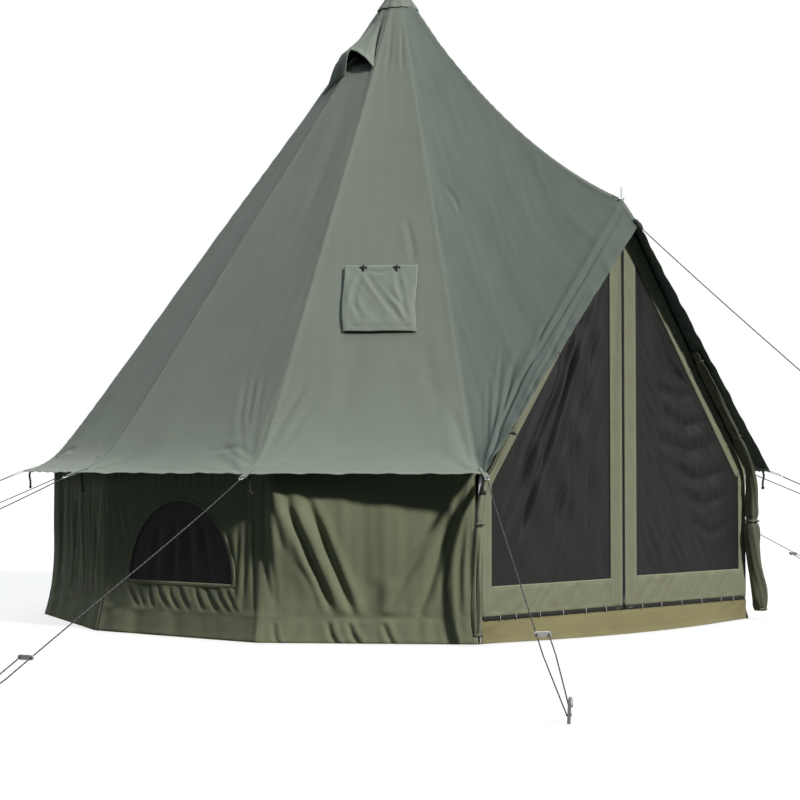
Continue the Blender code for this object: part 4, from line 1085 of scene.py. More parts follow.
# Folds of a window's net: (place at the top, place at the foot, width, depth)
WINDOW_NET_FOLDS = [
    (-0.10, -0.13, 0.016, 0.004), (-0.02, -0.04, 0.014, 0.005),
    (0.04, 0.05, 0.018, 0.004), (0.10, 0.14, 0.015, 0.004),
]
WINDOW_FOLDS = [
    ([(0.282, 0.44), (0.265, 0.143)], 0.010, 0.0065, 0, 0.2),
    ([(0.312, 0.50), (0.297, 0.100)], 0.010, 0.0070, 0, 0.2),
    ([(0.345, 0.52), (0.351, 0.090)], 0.009, 0.0080, 0.2, 0.3),
    ([(0.226, 0.40), (0.248, 0.28), (0.268, 0.130)], 0.009, 0.0050, 0, 0),
    ([(-0.391, 0.52), (-0.352, 0.150)], 0.014, 0.0050, 0, 0),
    ([(-0.322, 0.50), (-0.271, 0.300)], 0.011, 0.0050, 0, 0),
    ([(-0.29, 0.50), (-0.24, 0.36)], 0.010, 0.0035, 0, 0),
    ([(-0.350, 0.55), (-0.330, 0.200)], 0.012, 0.0040, 0, 0),
    ([(-0.254, 0.182), (-0.235, 0.150), (-0.193, 0.094)], 0.008, 0.0060, 0.3, 0.3),
    ([(-0.200, 0.182), (-0.190, 0.140), (-0.160, 0.094)], 0.007, 0.0045, 0.3, 0.3),
    ([(-0.150, 0.182), (-0.143, 0.150), (-0.118, 0.094)], 0.008, 0.0065, 0.3, 0.3),
    ([(-0.105, 0.182), (-0.090, 0.150), (-0.040, 0.094)], 0.009, 0.0075, 0.3, 0.3),
    ([(-0.050, 0.182), (-0.035, 0.140), (0.005, 0.094)], 0.007, 0.0060, 0.3, 0.3),
    ([(-0.001, 0.182), (0.020, 0.145), (0.057, 0.094)], 0.009, 0.0080, 0.3, 0.3),
    ([(0.076, 0.182), (0.090, 0.145), (0.124, 0.094)], 0.008, 0.0080, 0.3, 0.3),
    ([(0.124, 0.182), (0.145, 0.145), (0.190, 0.094)], 0.009, 0.0075, 0.3, 0.3),
    ([(0.180, 0.182), (0.200, 0.145), (0.245, 0.094)], 0.008, 0.0060, 0.3, 0.3),
    ([(0.225, 0.182), (0.245, 0.145), (0.280, 0.094)], 0.008, 0.0055, 0.3, 0.3),
]


def wall_line(heights):
    """The corner radius of the wall at each height."""
    radii, stops = zip(*WALL_LINE)
    return smooth_line(stops, np.array(radii)[:, None], heights)[..., 0]


def moon(along, up):
    """1 on the curved edge of a window, less inside it."""
    return np.hypot(along / WINDOW_HALF, (up - SILL) / WINDOW_RISE)


def wall_relief(angle, along, up, half):
    """How far a wall panel's cloth stands out; angle is its middle, in degrees."""
    side = -1 if angle > 0 else 1
    seed = 300 + int(angle) % 360
    x = along * side
    window = angle in WINDOWS.values()
    relief = swells(x, up, seed, 0.22, 5.0, 0.0035) + swells(x, up, seed + 1, 0.07, 8.0, 0.0012)
    if abs(angle) == 45:
        for line, width, depth, start, end in DOORSIDE_FOLDS:
            relief += fold(x, up, line, width, depth, start, end, 0.75)
        relief += 0.014 * bell(x - 0.02, 0.26) * np.sin(np.pi * np.clip(up / 0.6, 0, 1))
        share = np.clip((half - x) / (2 * half), 0, 1)
        away = step_up(half - x, 0.0, 0.16) * step_up(half + x, 0.0, 0.06)
        wedge = step_up(up, 0.15, 0.46) * (1 - step_up(up, 0.52, 0.63)) * away
        relief += (0.066 * share**1.3 - 0.020 * (1 - share)) * wedge
    elif window:
        for line, width, depth, start, end in WINDOW_FOLDS:
            relief += 0.68 * fold(x, up, line, width, depth, start, end, 0.7)
    else:
        made = np.random.default_rng(seed)
        for number in range(9):
            top = -0.34 + 0.085 * number + made.uniform(-0.02, 0.02)
            lean = made.uniform(-0.10, 0.10) - 0.16 * top
            low = made.uniform(0.04, 0.14)
            line = [(top, 0.56), (top + lean * 0.4, 0.34), (top + lean, low)]
            width, depth = made.uniform(0.010, 0.020), made.uniform(0.004, 0.012)
            relief += fold(x, up, line, width, depth, 0.1, 0.2, 0.7)
    if window:
        relief *= 1 - 0.85 * (1 - step_up(moon(along, up), 1.0, 1.14)) * step_up(up, 0.175, 0.19)
    relief += 0.0035 * np.sin(2 * np.pi * x / 0.034 + seed) * step_up(up, 0.50, 0.60)
    edge = half - np.abs(along)
    relief *= sizes().folds * step_up(edge, 0.0, 0.035) * (1 - 0.75 * bell(up - 0.09, 0.012))
    relief += 0.0010 * (1 - step_up(half - x, FELL_INNER, FELL_OUTER))
    return relief + 0.0012 * bell(up - WALL_SEAM, 0.006) + 0.0008 * (1 - step_up(up, 0.018, 0.021))


def window_grid(along, up):
    """Draws the grid onto a window's outline, and tells which points lie inside it."""
    ratio = moon(along, up)
    cell = 0.0042 / np.hypot(along, up - SILL).clip(0.05) * ratio
    near = (np.abs(ratio - 1) < cell) & (up >= SILL - 1e-6)
    scale = np.where(near, 1 / ratio, 1.0)
    along, up = along * scale, np.where(near, SILL + (up - SILL) * scale, up)
    return along, up, ((moon(along, up) < 1.0005) & (up >= SILL - 1e-6)).astype(float)


def wall_panel(first, number):
    """One wall panel's points, relief and values."""
    rows = spans((WALL_TOP, 0.52, 13), (0.52, SILL, 48), (SILL, 0.085, 17), (0.085, WALL_HEM, 13))
    steps = np.concatenate([[0, 0.0145, 0.0170], np.linspace(0.024, 0.735, 96), [0.7415, 0.744, 0.7588]])
    start = math.radians(first) + number * STEP
    angle = (round(math.degrees(start + STEP / 2)) + 180) % 360 - 180
    half = WALL_CORNER * math.sin(STEP / 2)
    share, up = np.meshgrid(steps / steps[-1], rows, indexing="ij")
    along = (share - 0.5) * 2 * half
    hole = np.zeros_like(up)
    if angle in WINDOWS.values():
        along, up, hole = window_grid(along, up)
    radius = wall_line(up)
    corner, end = around(start, radius, up), around(start + STEP, radius, up)
    points = corner + (end - corner) * (along / (2 * half) + 0.5)[..., None]
    low = np.minimum(up, np.abs(up - WALL_SEAM - 0.006))
    maps = cloth_maps(along + PANEL_APART * number, up, half - np.abs(along), WALL_TOP - up, low)
    return {"points": points, "relief": wall_relief(angle, along, up, half), "hole": hole, **maps}


def cut_hole(bm):
    layer = bm.verts.layers.float["hole"]
    cut = [face for face in bm.faces if all(vert[layer] > 0.5 for vert in face.verts)]
    bmesh.ops.delete(bm, geom=cut, context="FACES")


def wall_sheet(name, first, node_name):
    """Two wall panels sewn at the corner between them, with their window openings cut."""
    near_corner = 100
    whole = sewn([wall_panel(first, number) for number in range(2)])
    away = math.radians(first) + STEP
    outward = np.array([math.sin(away), -math.cos(away), 0.0])
    points = raised(whole, near_corner, outward)
    points[..., 2] = np.maximum(points[..., 2], 0.001)
    data = grid_mesh(name, points, {key: whole[key] for key in ("metres", "seam", "run", "low", "hole")})
    edit(data, cut_hole)
    data.attributes.remove(data.attributes["hole"])
    facing(data, outward)
    thing = piece(name, data, finish("Wall canvas"), "tent", "canvas", [node_name])
    thicken(thing, sizes().cloth)


def on_panel(angle, along, up, out=0.0):
    """Points on a wall panel's plain face; angle is its middle, in radians."""
    along, up = np.broadcast_arrays(along, up)
    radius = wall_line(up) * HALF_CHORD + out
    across = np.array([math.cos(angle), math.sin(angle), 0.0])
    return around(angle, radius, up) + across * along[..., None]


class BELLTENT_OT_walls(bpy.types.Operator):
    """Makes the wall panels with their hems and folds, and the half-moon windows with net and binding"""

    bl_idname = "bell_tent.walls"
    bl_label = "Walls and windows"

    def execute(self, context):
        starts = {"left_front": -90, "left_rear": -150, "rear": 150, "right_rear": 90, "right_front": 30}
        for name, first in starts.items():
            wall_sheet(f"wall_canvas_{name}", first, f"wall_{name}")
        walls = ("left_front", "right_front", "left_rear", "right_rear")
        for (name, degrees), wall in zip(WINDOWS.items(), walls):
            self.window(name, wall, math.radians(degrees), 1 if degrees < 0 else -1)
        return {"FINISHED"}

    def window(self, name, wall, angle, side):
        outward = (math.sin(angle), -math.cos(angle), 0.0)
        u, v = shares(61, 31, -1.0)
        along = WINDOW_HALF * u * np.sqrt(1 - v * v / 2)
        up = SILL + WINDOW_RISE * v * np.sqrt(1 - u * u / 2)
        x = along * side
        slack = sum(fold(x, up, [(top, 0.44), (low, 0.20)], wide, deep, 0.1, 0.5, 0.8)
                    for top, low, wide, deep in WINDOW_NET_FOLDS)
        slack = slack * (1 - step_up(moon(along, up), 0.75, 0.98))
        net = sheet_piece(f"window_net_{name}", on_panel(angle, along, up, -0.0008 + slack),
                          {"metres": np.stack([along, up], -1)}, "Net with painted shade", "tent", "mesh",
                          [f"window_mesh_{name}"], outward, NET_THICKNESS)
        turn = np.linspace(0, np.pi, 97)
        along, up = WINDOW_HALF * np.cos(turn), SILL + WINDOW_RISE * np.sin(turn)
        path = on_panel(angle, along, up, 0.0016)
        inward = unit(on_panel(angle, along * 0.9, SILL + (up - SILL) * 0.9, 0.0016) - path)
        arch = ribbon("arch", path, inward, 0.015, outward, 0.0012)
        level = on_panel(angle, np.linspace(-WINDOW_HALF - 0.02, WINDOW_HALF + 0.02, 60), SILL, 0.0016)
        sill = ribbon("sill", level, (0, 0, 1), 0.016, outward, 0.0012)
        for data in (arch, sill):
            facing(data, outward)
        trim = joined_piece(f"window_binding_{name}", [arch, sill], "Wall canvas", "tent", "canvas")
        thicken(trim, 0.0007)
        zip_path = on_panel(angle, along * 0.966, SILL + 0.004 + (up - SILL) * 0.966, 0.0020)
        zip_line = pipe_mesh(f"window_zip_{name}", zip_path, 0.0022, 6)
        piece(f"window_zip_{name}", zip_line, finish("Zip tape"), "tent", "zip")


# Groundsheet and door


class BELLTENT_OT_ground(bpy.types.Operator):
    """Makes the groundsheet and the raised sill in front of the door"""

    bl_idname = "bell_tent.ground"
    bl_label = "Groundsheet"

    def execute(self, context):
        turn = np.linspace(0, 2 * np.pi, 289)
        angle = signed(turn)
        bow = np.clip(np.tan(angle) * FLOOR_FRONT / SILL_HALF, -1, 1) * np.pi / 2
        front = (FLOOR_FRONT + 0.105 * np.cos(bow)) / np.cos(angle)
        rim = np.where(np.abs(angle) < 0.52, front, FLOOR_CORNER * flatness(turn))[:, None]
        reach = np.concatenate([[0.0004], np.linspace(0.03, 1, 60)])[None]
        radius = reach * rim
        x, y = radius * np.sin(turn)[:, None], -radius * np.cos(turn)[:, None]
        soft = swells(x, y, 7, 0.35, 1.0, 0.0012) * step_up(radius, 0.05, 0.2)
        level = 0.0018 + soft * (1 - step_up(reach, 0.93, 1.0))
        points = np.stack([x, y, np.maximum(level, 0.0009)], -1)
        points[-1] = points[0]
        edge = (1 - reach) * rim
        data = grid_mesh("floor_tarp", points, cloth_maps(x, y, edge, turn[:, None] * 1.48, edge + 0.02))
        edit(data, lambda bm: bmesh.ops.remove_doubles(bm, verts=bm.verts, dist=0.00008))
        facing(data, (0, 0, 1))
        tarp = piece("floor_tarp", data, finish("Groundsheet"), "tent", "groundsheet", ["groundsheet"])
        thicken(tarp, 0.0007)
        self.sill()
        return {"FINISHED"}

    def sill(self):
        u, v = shares(121, 25, -1.0)
        x = SILL_HALF * u
        foot = 0.0026
        bulge = 0.090 * np.cos(math.pi * u / 2) * (1 - v) ** 1.4
        creases = swells(x, v, 12, 0.16, 6.0, 0.0024) * np.sin(np.pi * v) ** 0.7
        creases = creases + 0.0012 * np.sin(2 * np.pi * x / 0.05) * bell(v - 0.93, 0.1)
        points = np.stack([x, DOOR_Y - bulge - creases, foot + (SILL_TOP - foot) * v], -1)
        maps = cloth_maps(x, v * 0.09, np.minimum(v, 1 - v) * 0.09, x, v * 0.09)
        sill = sheet_piece("door_sill_tarp", points, maps, "Groundsheet", "tent", "groundsheet",
                           ["door_sill"], (0, -1, 0.2), LIGHT_CANVAS)


# Folds of the nets, x outwards from the zip and z up: left leaf, then right leaf
NET_FOLDS = {
    -1: [
        ([(0.075, 1.38), (0.22, 0.86), (0.43, 0.22)], 0.016, 0.009, 0.1, 0.2),
        ([(0.145, 1.30), (0.36, 0.80), (0.61, 0.24)], 0.014, 0.010, 0.1, 0.2),
        ([(0.19, 1.22), (0.40, 0.74), (0.53, 0.46)], 0.013, 0.008, 0.1, 0),
        ([(0.085, 1.12), (0.25, 0.72), (0.33, 0.22)], 0.016, 0.008, 0, 0.2),
        ([(0.27, 1.08), (0.50, 0.66), (0.67, 0.30)], 0.013, 0.009, 0, 0.1),
        ([(0.10, 0.95), (0.17, 0.60), (0.20, 0.22)], 0.018, 0.006, 0, 0.2),
        ([(0.30, 0.98), (0.44, 0.70), (0.56, 0.30)], 0.013, 0.007, 0, 0.1),
        ([(0.22, 1.14), (0.33, 0.86), (0.48, 0.50)], 0.011, 0.006, 0, 0),
    ],
    1: [
        ([(0.16, 0.93), (0.32, 0.885), (0.45, 0.91)], 0.019, 0.0045, 0, 0.2),
        ([(0.20, 0.84), (0.36, 0.775), (0.52, 0.80)], 0.022, 0.0060, 0, 0.2),
        ([(0.17, 0.73), (0.38, 0.675), (0.58, 0.72)], 0.024, 0.0062, 0, 0.2),
        ([(0.22, 0.64), (0.42, 0.565), (0.62, 0.60)], 0.022, 0.0058, 0, 0.2),
        ([(0.30, 0.53), (0.47, 0.465), (0.64, 0.51)], 0.020, 0.0045, 0, 0.2),
        ([(0.38, 0.41), (0.52, 0.350), (0.66, 0.40)], 0.018, 0.0036, 0, 0.2),
        ([(0.10, 1.30), (0.14, 0.90), (0.13, 0.40)], 0.025, 0.004, 0, 0),
        ([(0.17, 1.20), (0.28, 1.02), (0.40, 0.90)], 0.012, 0.006, 0.1, 0.1),
    ],
}
SLANT_RUN = (LEAF_OUTER - 0.0723) / (LEAF_TOP - KNEE)
# A tie over the sill zip: across, out and up
SILL_TIE = [(0, 0.004, 0.098), (0.002, 0.0072, 0.092), (0.001, 0.0072, 0.082), (0, 0.004, 0.077)]


def leaf_edge(up):
    """How far out a half of the door reaches at each height."""
    return np.where(up > KNEE, LEAF_OUTER - (up - KNEE) * SLANT_RUN, LEAF_OUTER)


class BELLTENT_OT_door(bpy.types.Operator):
    """Makes the two door leaves with the fixed parts beside them, their nets, zips and sill zip"""

    bl_idname = "bell_tent.door"
    bl_label = "Door"

    FOLD_HALF = 0.012
    NET_FOOT, NET_TOP = 0.180, 1.470
    KICK_TOP = {-1: 0.200, 1: 0.205}

    def execute(self, context):
        for word, side in (("left", -1), ("right", 1)):
            self.border(word, side)
            self.net(word, side)
            self.zips(word, side)
        return {"FINISHED"}

    def bend(self, thing, word, side):
        """Bends a piece over the line that the leaf folds along, from the zip's top to the sill's end."""
        run = Vector((LEAF_OUTER, 0.0, FOLD_FOOT - LEAF_TOP)).normalized()
        inward = Vector((side * run.z, 0.0, -run.x))
        middle = Vector((side * LEAF_OUTER / 2, DOOR_Y, (LEAF_TOP + FOLD_FOOT) / 2))
        half = inward * self.FOLD_HALF
        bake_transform(thing, "tent", f"door_flap_{word}", start=middle - half, end=middle + half)

    def sheet(self, x, z, lift, side, flat, seam, run, low):
        """A part of a leaf's border in the door's plane, lifted off it."""
        points = np.stack([x * side, DOOR_Y - 0.0008 - lift, z], -1)
        data = grid_mesh("border", points, cloth_maps(*flat, seam, run, low))
        facing(data, (0, -1, 0))
        return data

    def strip(self, start, end, width, side, seed, lift):
        """A border strip from one (x, z) point to another, with its stitched edges and soft creases."""
        start, end = np.array(start), np.array(end)
        length = float(np.linalg.norm(end - start))
        count = max(int(length / 0.012), 8)
        u, v = np.meshgrid(np.linspace(0, 1, count + 1), np.linspace(-0.5, 0.5, 13), indexing="ij")
        along = (end - start) / length
        square = np.array([-along[1], along[0]])
        place = start + u[..., None] * (end - start) + v[..., None] * width * square
        edge = (0.5 - np.abs(v)) * width
        soft = swells(u * length, v * width, seed, 0.10, 0.6, 0.0012) * step_up(edge, 0.0, 0.02)
        lift = 0.0016 * (1 - (2 * np.abs(v)) ** 6) + soft + lift
        flat = v * width, u * length
        return self.sheet(place[..., 0], place[..., 1], lift, side, flat, edge, u * length, edge + 0.02)

    def kick(self, side):
        """The canvas below the net, creased where it pulls between zip, sill and corner."""
        wide = LEAF_OUTER - 0.002 - ZIP_GAP
        u, v = shares(91, 25)
        tall = self.KICK_TOP[side] - LEAF_BOTTOM
        x, z = ZIP_GAP + wide * u, LEAF_BOTTOM + tall * v
        made = np.random.default_rng(31 + side)
        soft = swells(x, z, 52 + side, 0.12, 1.2, 0.0022)
        for number in range(9):
            at = 0.10 + 0.068 * number + made.uniform(-0.02, 0.02)
            lean = made.uniform(0.02, 0.09) * (1 if side < 0 else -1)
            width, depth = made.uniform(0.007, 0.012), made.uniform(0.0015, 0.0040)
            soft = soft + fold(x, z, [(at, 0.205), (at + lean, 0.105)], width, depth, 0.2, 0.2, 0.8)
        edge = np.minimum(np.minimum(v, 1 - v) * tall, np.minimum(u, 1 - u) * wide)
        lift = 0.0010 + soft * step_up(edge, 0.0, 0.022) + 0.0014 * step_up(edge, 0.0, 0.002)
        return self.sheet(x, z, lift, side, (x, z), edge, x, z - LEAF_BOTTOM)

    def border(self, word, side):
        inner, outer = ZIP_GAP + ZIP_STRIP / 2, LEAF_OUTER - 0.024
        data = joined(f"door_canvas_{word}", [
            self.kick(side),
            self.strip((inner, LEAF_BOTTOM), (inner, LEAF_TOP - 0.01), ZIP_STRIP, side, 60 + side, 0.0012),
            self.strip((outer, LEAF_BOTTOM), (outer, KNEE + 0.01), 0.046, side, 70 + side, 0.0006),
            self.strip((LEAF_OUTER - 0.034, KNEE - 0.012), (0.055, 1.472), 0.062, side, 80 + side, 0.0003),
        ])
        thing = shown(f"door_canvas_{word}", data, finish("Door canvas"))
        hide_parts(f"door_flap_{word}", f"door_side_{word}")
        thicken(thing, LIGHT_CANVAS)
        self.bend(thing, word, side)

    def net(self, word, side):
        u, v = shares(111, 171)
        z = self.NET_FOOT + (self.NET_TOP - self.NET_FOOT) * v
        first = ZIP_GAP + 0.055
        x = first + (leaf_edge(z) - 0.020 - first).clip(0.002) * u
        slack = swells(x, z, 90 + side, 0.16, 3.0, 0.0035)
        slack = slack + swells(x + 0.45 * z, z, 95 + side, 0.05, 6.0, 0.0012)
        for line, width, depth, start, end in NET_FOLDS[side]:
            slack = slack + fold(x, z, line, width, depth, start, end, 0.8)
        inner = np.minimum(np.minimum(x - first - 0.012, leaf_edge(z) - 0.066 - x), z - 0.205)
        slack = 1.53 * slack * step_up(inner, 0.0, 0.05)
        points = np.stack([x * side, DOOR_Y + 0.0006 - slack, z], -1)
        data = grid_mesh(f"door_net_{word}", points, {"metres": np.stack([x, z], -1)})
        facing(data, (0, -1, 0))
        thing = shown(f"door_net_{word}", data, finish("Net"))
        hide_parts(f"door_mesh_{word}", f"door_side_mesh_{word}")
        thicken(thing, NET_THICKNESS)
        self.bend(thing, word, side)

    def zips(self, word, side):
        """Half of the centre zip: its tape on the leaf and one row of teeth, and the zip along the sill."""
        path = [(side * 0.0050, DOOR_Y - 0.0030, z) for z in np.linspace(0.098, 1.46, 110)]
        teeth = [(side * 0.0022, DOOR_Y - 0.0030 - 0.0007 * (number % 2), z)
                 for number, z in enumerate(np.arange(0.100, 1.455, 0.004))]
        data = self.chain(f"centre_zip_{word}", path, (1, 0, 0), 0.0075, 0.0004, teeth, 0.0013)
        thing = shown(f"centre_zip_{word}", data, finish("Zip tape"))
        self.bend(thing, word, side)
        path = [(side * x, DOOR_Y - 0.0035, 0.0875) for x in np.linspace(0.004, 0.728, 90)]
        teeth = [(side * x, DOOR_Y - 0.0046 - 0.0006 * (number % 2), 0.0875)
                 for number, x in enumerate(np.arange(0.004, 0.728, 0.004))]
        data = self.chain(f"sill_zip_{word}", path, (0, 0, 1), 0.014, 0.0006, teeth, 0.0021)
        piece(f"sill_zip_{word}", data, finish("Zip tape"), "tent", "zip")
        ties = []
        for x in (0.10, 0.21, 0.33, 0.45, 0.57, 0.648):
            loop = [(side * (x + across), DOOR_Y - out, z) for across, out, z in SILL_TIE]
            ties.append(pipe_mesh("tie", loop, 0.0011, 6))
        joined_piece(f"sill_ties_{word}", ties, "Runner plastic", "tent", "runner")

    def chain(self, name, path, across, width, lift, teeth, radius):
        """A zip's tape with one row of teeth on it."""
        tape = ribbon("tape", path, across, width, (0, -1, 0), lift)
        facing(tape, (0, -1, 0))
        return joined(name, [tape, pipe_mesh("teeth", teeth, radius, 5)])


class BELLTENT_OT_rolled_doors(bpy.types.Operator):
    """Makes the outer canvas doors rolled up beside the frame, with their ties and toggles"""

    bl_idname = "bell_tent.rolled_doors"
    bl_label = "Rolled doors"

    # The roll's centre line, (x, z) down the slant, then its heights down the side and x and y there
    SLANT = [(0.375, 1.066), (0.391, 1.046), (0.478, 0.935), (0.563, 0.825), (0.650, 0.712), (0.708, 0.622)]
    HEIGHTS = [0.540, 0.450, 0.340, 0.230, 0.125, 0.040]
    SIDE_X = {"left": [0.764, 0.788, 0.798, 0.801, 0.801, 0.801],
              "right": [0.722, 0.726, 0.730, 0.745, 0.773, 0.778]}
    SIDE_Y = {"left": [-1.345] * 6, "right": [-1.343, -1.340, -1.338, -1.337, -1.337, -1.338]}
    RUMPLE = {"left": 0.27, "right": 0.15}
    FULLNESS = [0.35, 0.75, 1.0, 0.92, 1.0, 0.94, 0.86, 0.95, 1.02, 0.9, 1.02, 0.95]
    RADIUS, TURNS, COUNT = 0.027, 3.5, 220
    TIES = (0.045, 0.42, 0.78, 1.16)

    def execute(self, context):
        for word, side in (("left", -1), ("right", 1)):
            self.roll(word, side)
        return {"FINISHED"}

    def depths(self, word, row):
        """How far the roll stands out, and how wide it is, as shares of its radius."""
        if word == "left":
            return 1.28 - 0.46 * step_up(row, 5.0, 6.2), np.full(row.shape, 0.46)
        low = step_up(row, 6.6, 8.2) * (1 - 0.75 * step_up(row, 10.3, 11.0))
        return np.full(row.shape, 1.28), 0.46 + 0.62 * low

    def roll(self, word, side):
        route = [(x, -1.340, z) for x, z in self.SLANT]
        route += zip(self.SIDE_X[word], self.SIDE_Y[word], self.HEIGHTS)
        row = np.linspace(0, len(route) - 1, self.COUNT)
        path = read_line(route, self.COUNT) * np.array([side, 1, 1])
        full = read_line([[value] for value in self.FULLNESS], self.COUNT)[:, 0] * self.RADIUS
        full = full * (0.74 + 0.26 * step_up(row, 5.0, 6.0))
        length = gone_along(path)
        tangent = unit(np.gradient(path, axis=0))
        guide = np.array([0.0, -1.0, 0.0])
        front = unit(guide - tangent * (tangent @ guide)[:, None])
        other = np.cross(tangent, front)
        wind = np.linspace(0, 2 * np.pi * self.TURNS, 97)[:, None]
        layer = 0.52 + 0.48 * wind / wind.max()
        along = length[None]
        pleat = self.RUMPLE[word] * np.sin(3 * wind + 5 * along * side) * np.sin(9 * along + 1.3 * side)
        pleat = pleat + 0.09 * np.sin(7 * wind + 21 * along) * step_up(layer, 0.6, 1.0)
        pinch = 1 - 0.28 * sum(bell(length - spot, 0.018) for spot in self.TIES)
        radius = full[None] * layer * (1 + pleat) * pinch[None]
        deep, thin = self.depths(word, row)
        angle = wind + 2.1 + 0.25 * np.sin(4 * along)
        turned = front[None] * np.cos(angle)[..., None] * deep[:, None]
        turned = turned + other[None] * np.sin(angle * side)[..., None] * thin[:, None]
        points = path[None] + turned * radius[..., None]
        points[..., 2] = np.maximum(points[..., 2], 0.003)
        edge = np.minimum(wind.max() - wind, wind) * 0.024
        maps = cloth_maps(wind * 0.024, along, edge, along, edge + 0.03)
        data = grid_mesh(f"outer_door_{word}", points, maps)
        # The right roll's finish is a darker copy of the rolled canvas: painted shade.
        thing = piece(f"outer_door_{word}", data, finish(f"Rolled canvas {word}"), "tent", "door_canvas",
                      [f"rolled_door_{word}"])
        thicken(thing, LIGHT_CANVAS, 0.0)
        bands, toggles = [], []
        ring = np.linspace(0, 2 * np.pi, 41)[:, None]
        for spot in self.TIES:
            at = int(np.argmin(np.abs(length - spot)))
            size = full[at] * 0.80
            loop = front[at] * np.cos(ring) * deep[at] + other[at] * np.sin(ring) * thin[at] * 1.15
            bands.append(ribbon("band", path[at] + loop * size, tangent[at], 0.010, (0, 0, 0), 0.0))
            hang = path[at] + front[at] * (size * deep[at] + 0.002)
            line = [hang + other[at] * shift for shift in (-0.011, -0.009, 0, 0.009, 0.011)]
            toggles.append(pipe_mesh("toggle", line, [0.0020, 0.0034, 0.0028, 0.0034, 0.0020], 10))
        tie = joined_piece(f"outer_door_ties_{word}", bands, "Door canvas", "tent", "door_canvas")
        thicken(tie, 0.0012, 0.0)
        joined_piece(f"outer_door_toggles_{word}", toggles, "Black plastic", "tent", "runner")


# Vent, stove flap and eave corners


class GoreFace:
    """The flat face of a gore between shoulder and break, from a place down from the shoulder."""

    def __init__(self, degrees, down):
        angle = math.radians(degrees)
        share = down / SLOPE_LENGTH
        radius = SHOULDER[0] + SLOPE_RUN * share
        self.across = np.array([math.cos(angle), math.sin(angle), 0.0])
        self.fall = unit(around(angle, SLOPE_RUN * HALF_CHORD, -SLOPE_DROP))
        out = np.cross(self.fall, self.across)
        self.out = out if out[2] > 0 else -out
        self.place = around(angle, radius * HALF_CHORD, SHOULDER[1] - SLOPE_DROP * share)

    def spots(self, x, y, rise):
        """Points from their metres across, down and out of the face."""
        x, y, rise = np.broadcast_arrays(x, y, rise)
        flat = self.place + self.across * x[..., None] + self.fall * y[..., None]
        return flat + self.out * rise[..., None]


class BELLTENT_OT_vent(bpy.types.Operator):
    """Makes the hooded vent near the top, with its net, the screen in its mouth and its corded lip"""

    bl_idname = "bell_tent.vent"
    bl_label = "Vent"

    MIDDLE = -86
    FIRST_ROW, INSIDE_LIP, CHEEK = 0.42, 0.03, 0.28

    def on_roof(self, rows, degrees):
        """Points on the gores under the hood, the seams' dips made softer, and the way out of the roof."""
        radius, height = seam_line(rows)
        angle = np.radians(degrees)
        flat = 1 - (1 - flatness(angle)) * 0.6
        return around(angle, radius * flat, height), around(angle, SLOPE_DROP, SLOPE_RUN) / SLOPE_LENGTH

    def execute(self, context):
        u, v = shares(97, 61, -1.0)
        arch = 1 - np.abs(u) ** 4
        lip = 0.88 + 0.18 * np.abs(u) ** 1.6
        cheek = step_up(-u, -0.06, 0.10)
        drop = np.clip((v - 1 + self.CHEEK) / self.CHEEK, 0, 1) * cheek
        v = np.where(cheek > 0, np.minimum(v / (1 - self.CHEEK * cheek), 1.0), v)
        rows = self.FIRST_ROW + (lip - self.FIRST_ROW) * v + 0.24 * drop
        roof, out = self.on_roof(rows, self.MIDDLE + (13 + 12 * v) * u)
        rise = 0.004 + (0.034 * arch + 0.016 * (1 - np.abs(u))) * v**1.3
        creases = 0.0035 * np.cos(9 * u + 0.6) * v * (1 - v) * 3 + 0.0018 * np.cos(17 * u) * v
        rise = rise + creases * step_up(arch, 0.0, 0.4) + 0.0012 * step_up(v, 0.90, 0.92)
        mouth = rise[:, -1].copy()
        rise = rise * (1 - 0.94 * drop**1.6)
        points = roof + out * rise[..., None]
        edge = np.minimum(1 - np.abs(u), 1 - v) * 0.16
        fallen = v * 0.17 + drop * 0.09
        maps = cloth_maps(u * 0.11, fallen, edge, u * 0.11 + fallen, edge)
        hood = sheet_piece("vent_hood_canvas", points, maps, "Roof canvas", "tent", "canvas",
                           ["vent_hood"], (-1, 0, 0.5), 0.0014)
        self.net()
        self.screen(u[:, -1], (lip - self.INSIDE_LIP)[:, -1], mouth)
        rim = pipe_mesh("vent_lip_cord", points[:, -1] - out[:, -1] * 0.001, 0.0022, 8)
        piece("vent_lip_cord", rim, finish("Roof canvas"), "tent", "canvas")
        return {"FINISHED"}

    def net(self):
        face = GoreFace(-75, -0.075)
        x, y = shares(13, 9, -0.5, 0.5)
        x, y = x * 0.100, y * 0.062
        pane = sheet_piece("vent_net", face.spots(x, y, 0.0012), {"metres": np.stack([x, y], -1)},
                           "Net with painted shade", "tent", "mesh", ["vent_mesh"], face.out, 0.0006)

    def screen(self, u, row, mouth):
        """The near-black net across the hood's mouth, from just inside its lip down to the gores; a net,
        whose near-black colour stands in as painted shade for the inside of the hood.
        """
        roof, out = self.on_roof(row, self.MIDDLE + 24.5 * u)
        high = np.maximum(mouth - 0.004, 0.003)
        level = 0.001 + (high - 0.001)[:, None] * np.linspace(0, 1, 13)
        points = roof[:, None] + out[:, None] * level[..., None]
        metres = np.stack(np.broadcast_arrays((u * 0.11)[:, None], level), -1)
        data = grid_mesh("vent_screen", points, {"metres": metres})
        facing(data, (-1, 0, -0.5))
        pane = piece("vent_screen", data, finish("Net with painted shade"), "tent", "mesh")
        thicken(pane, 0.0006, 0.0)


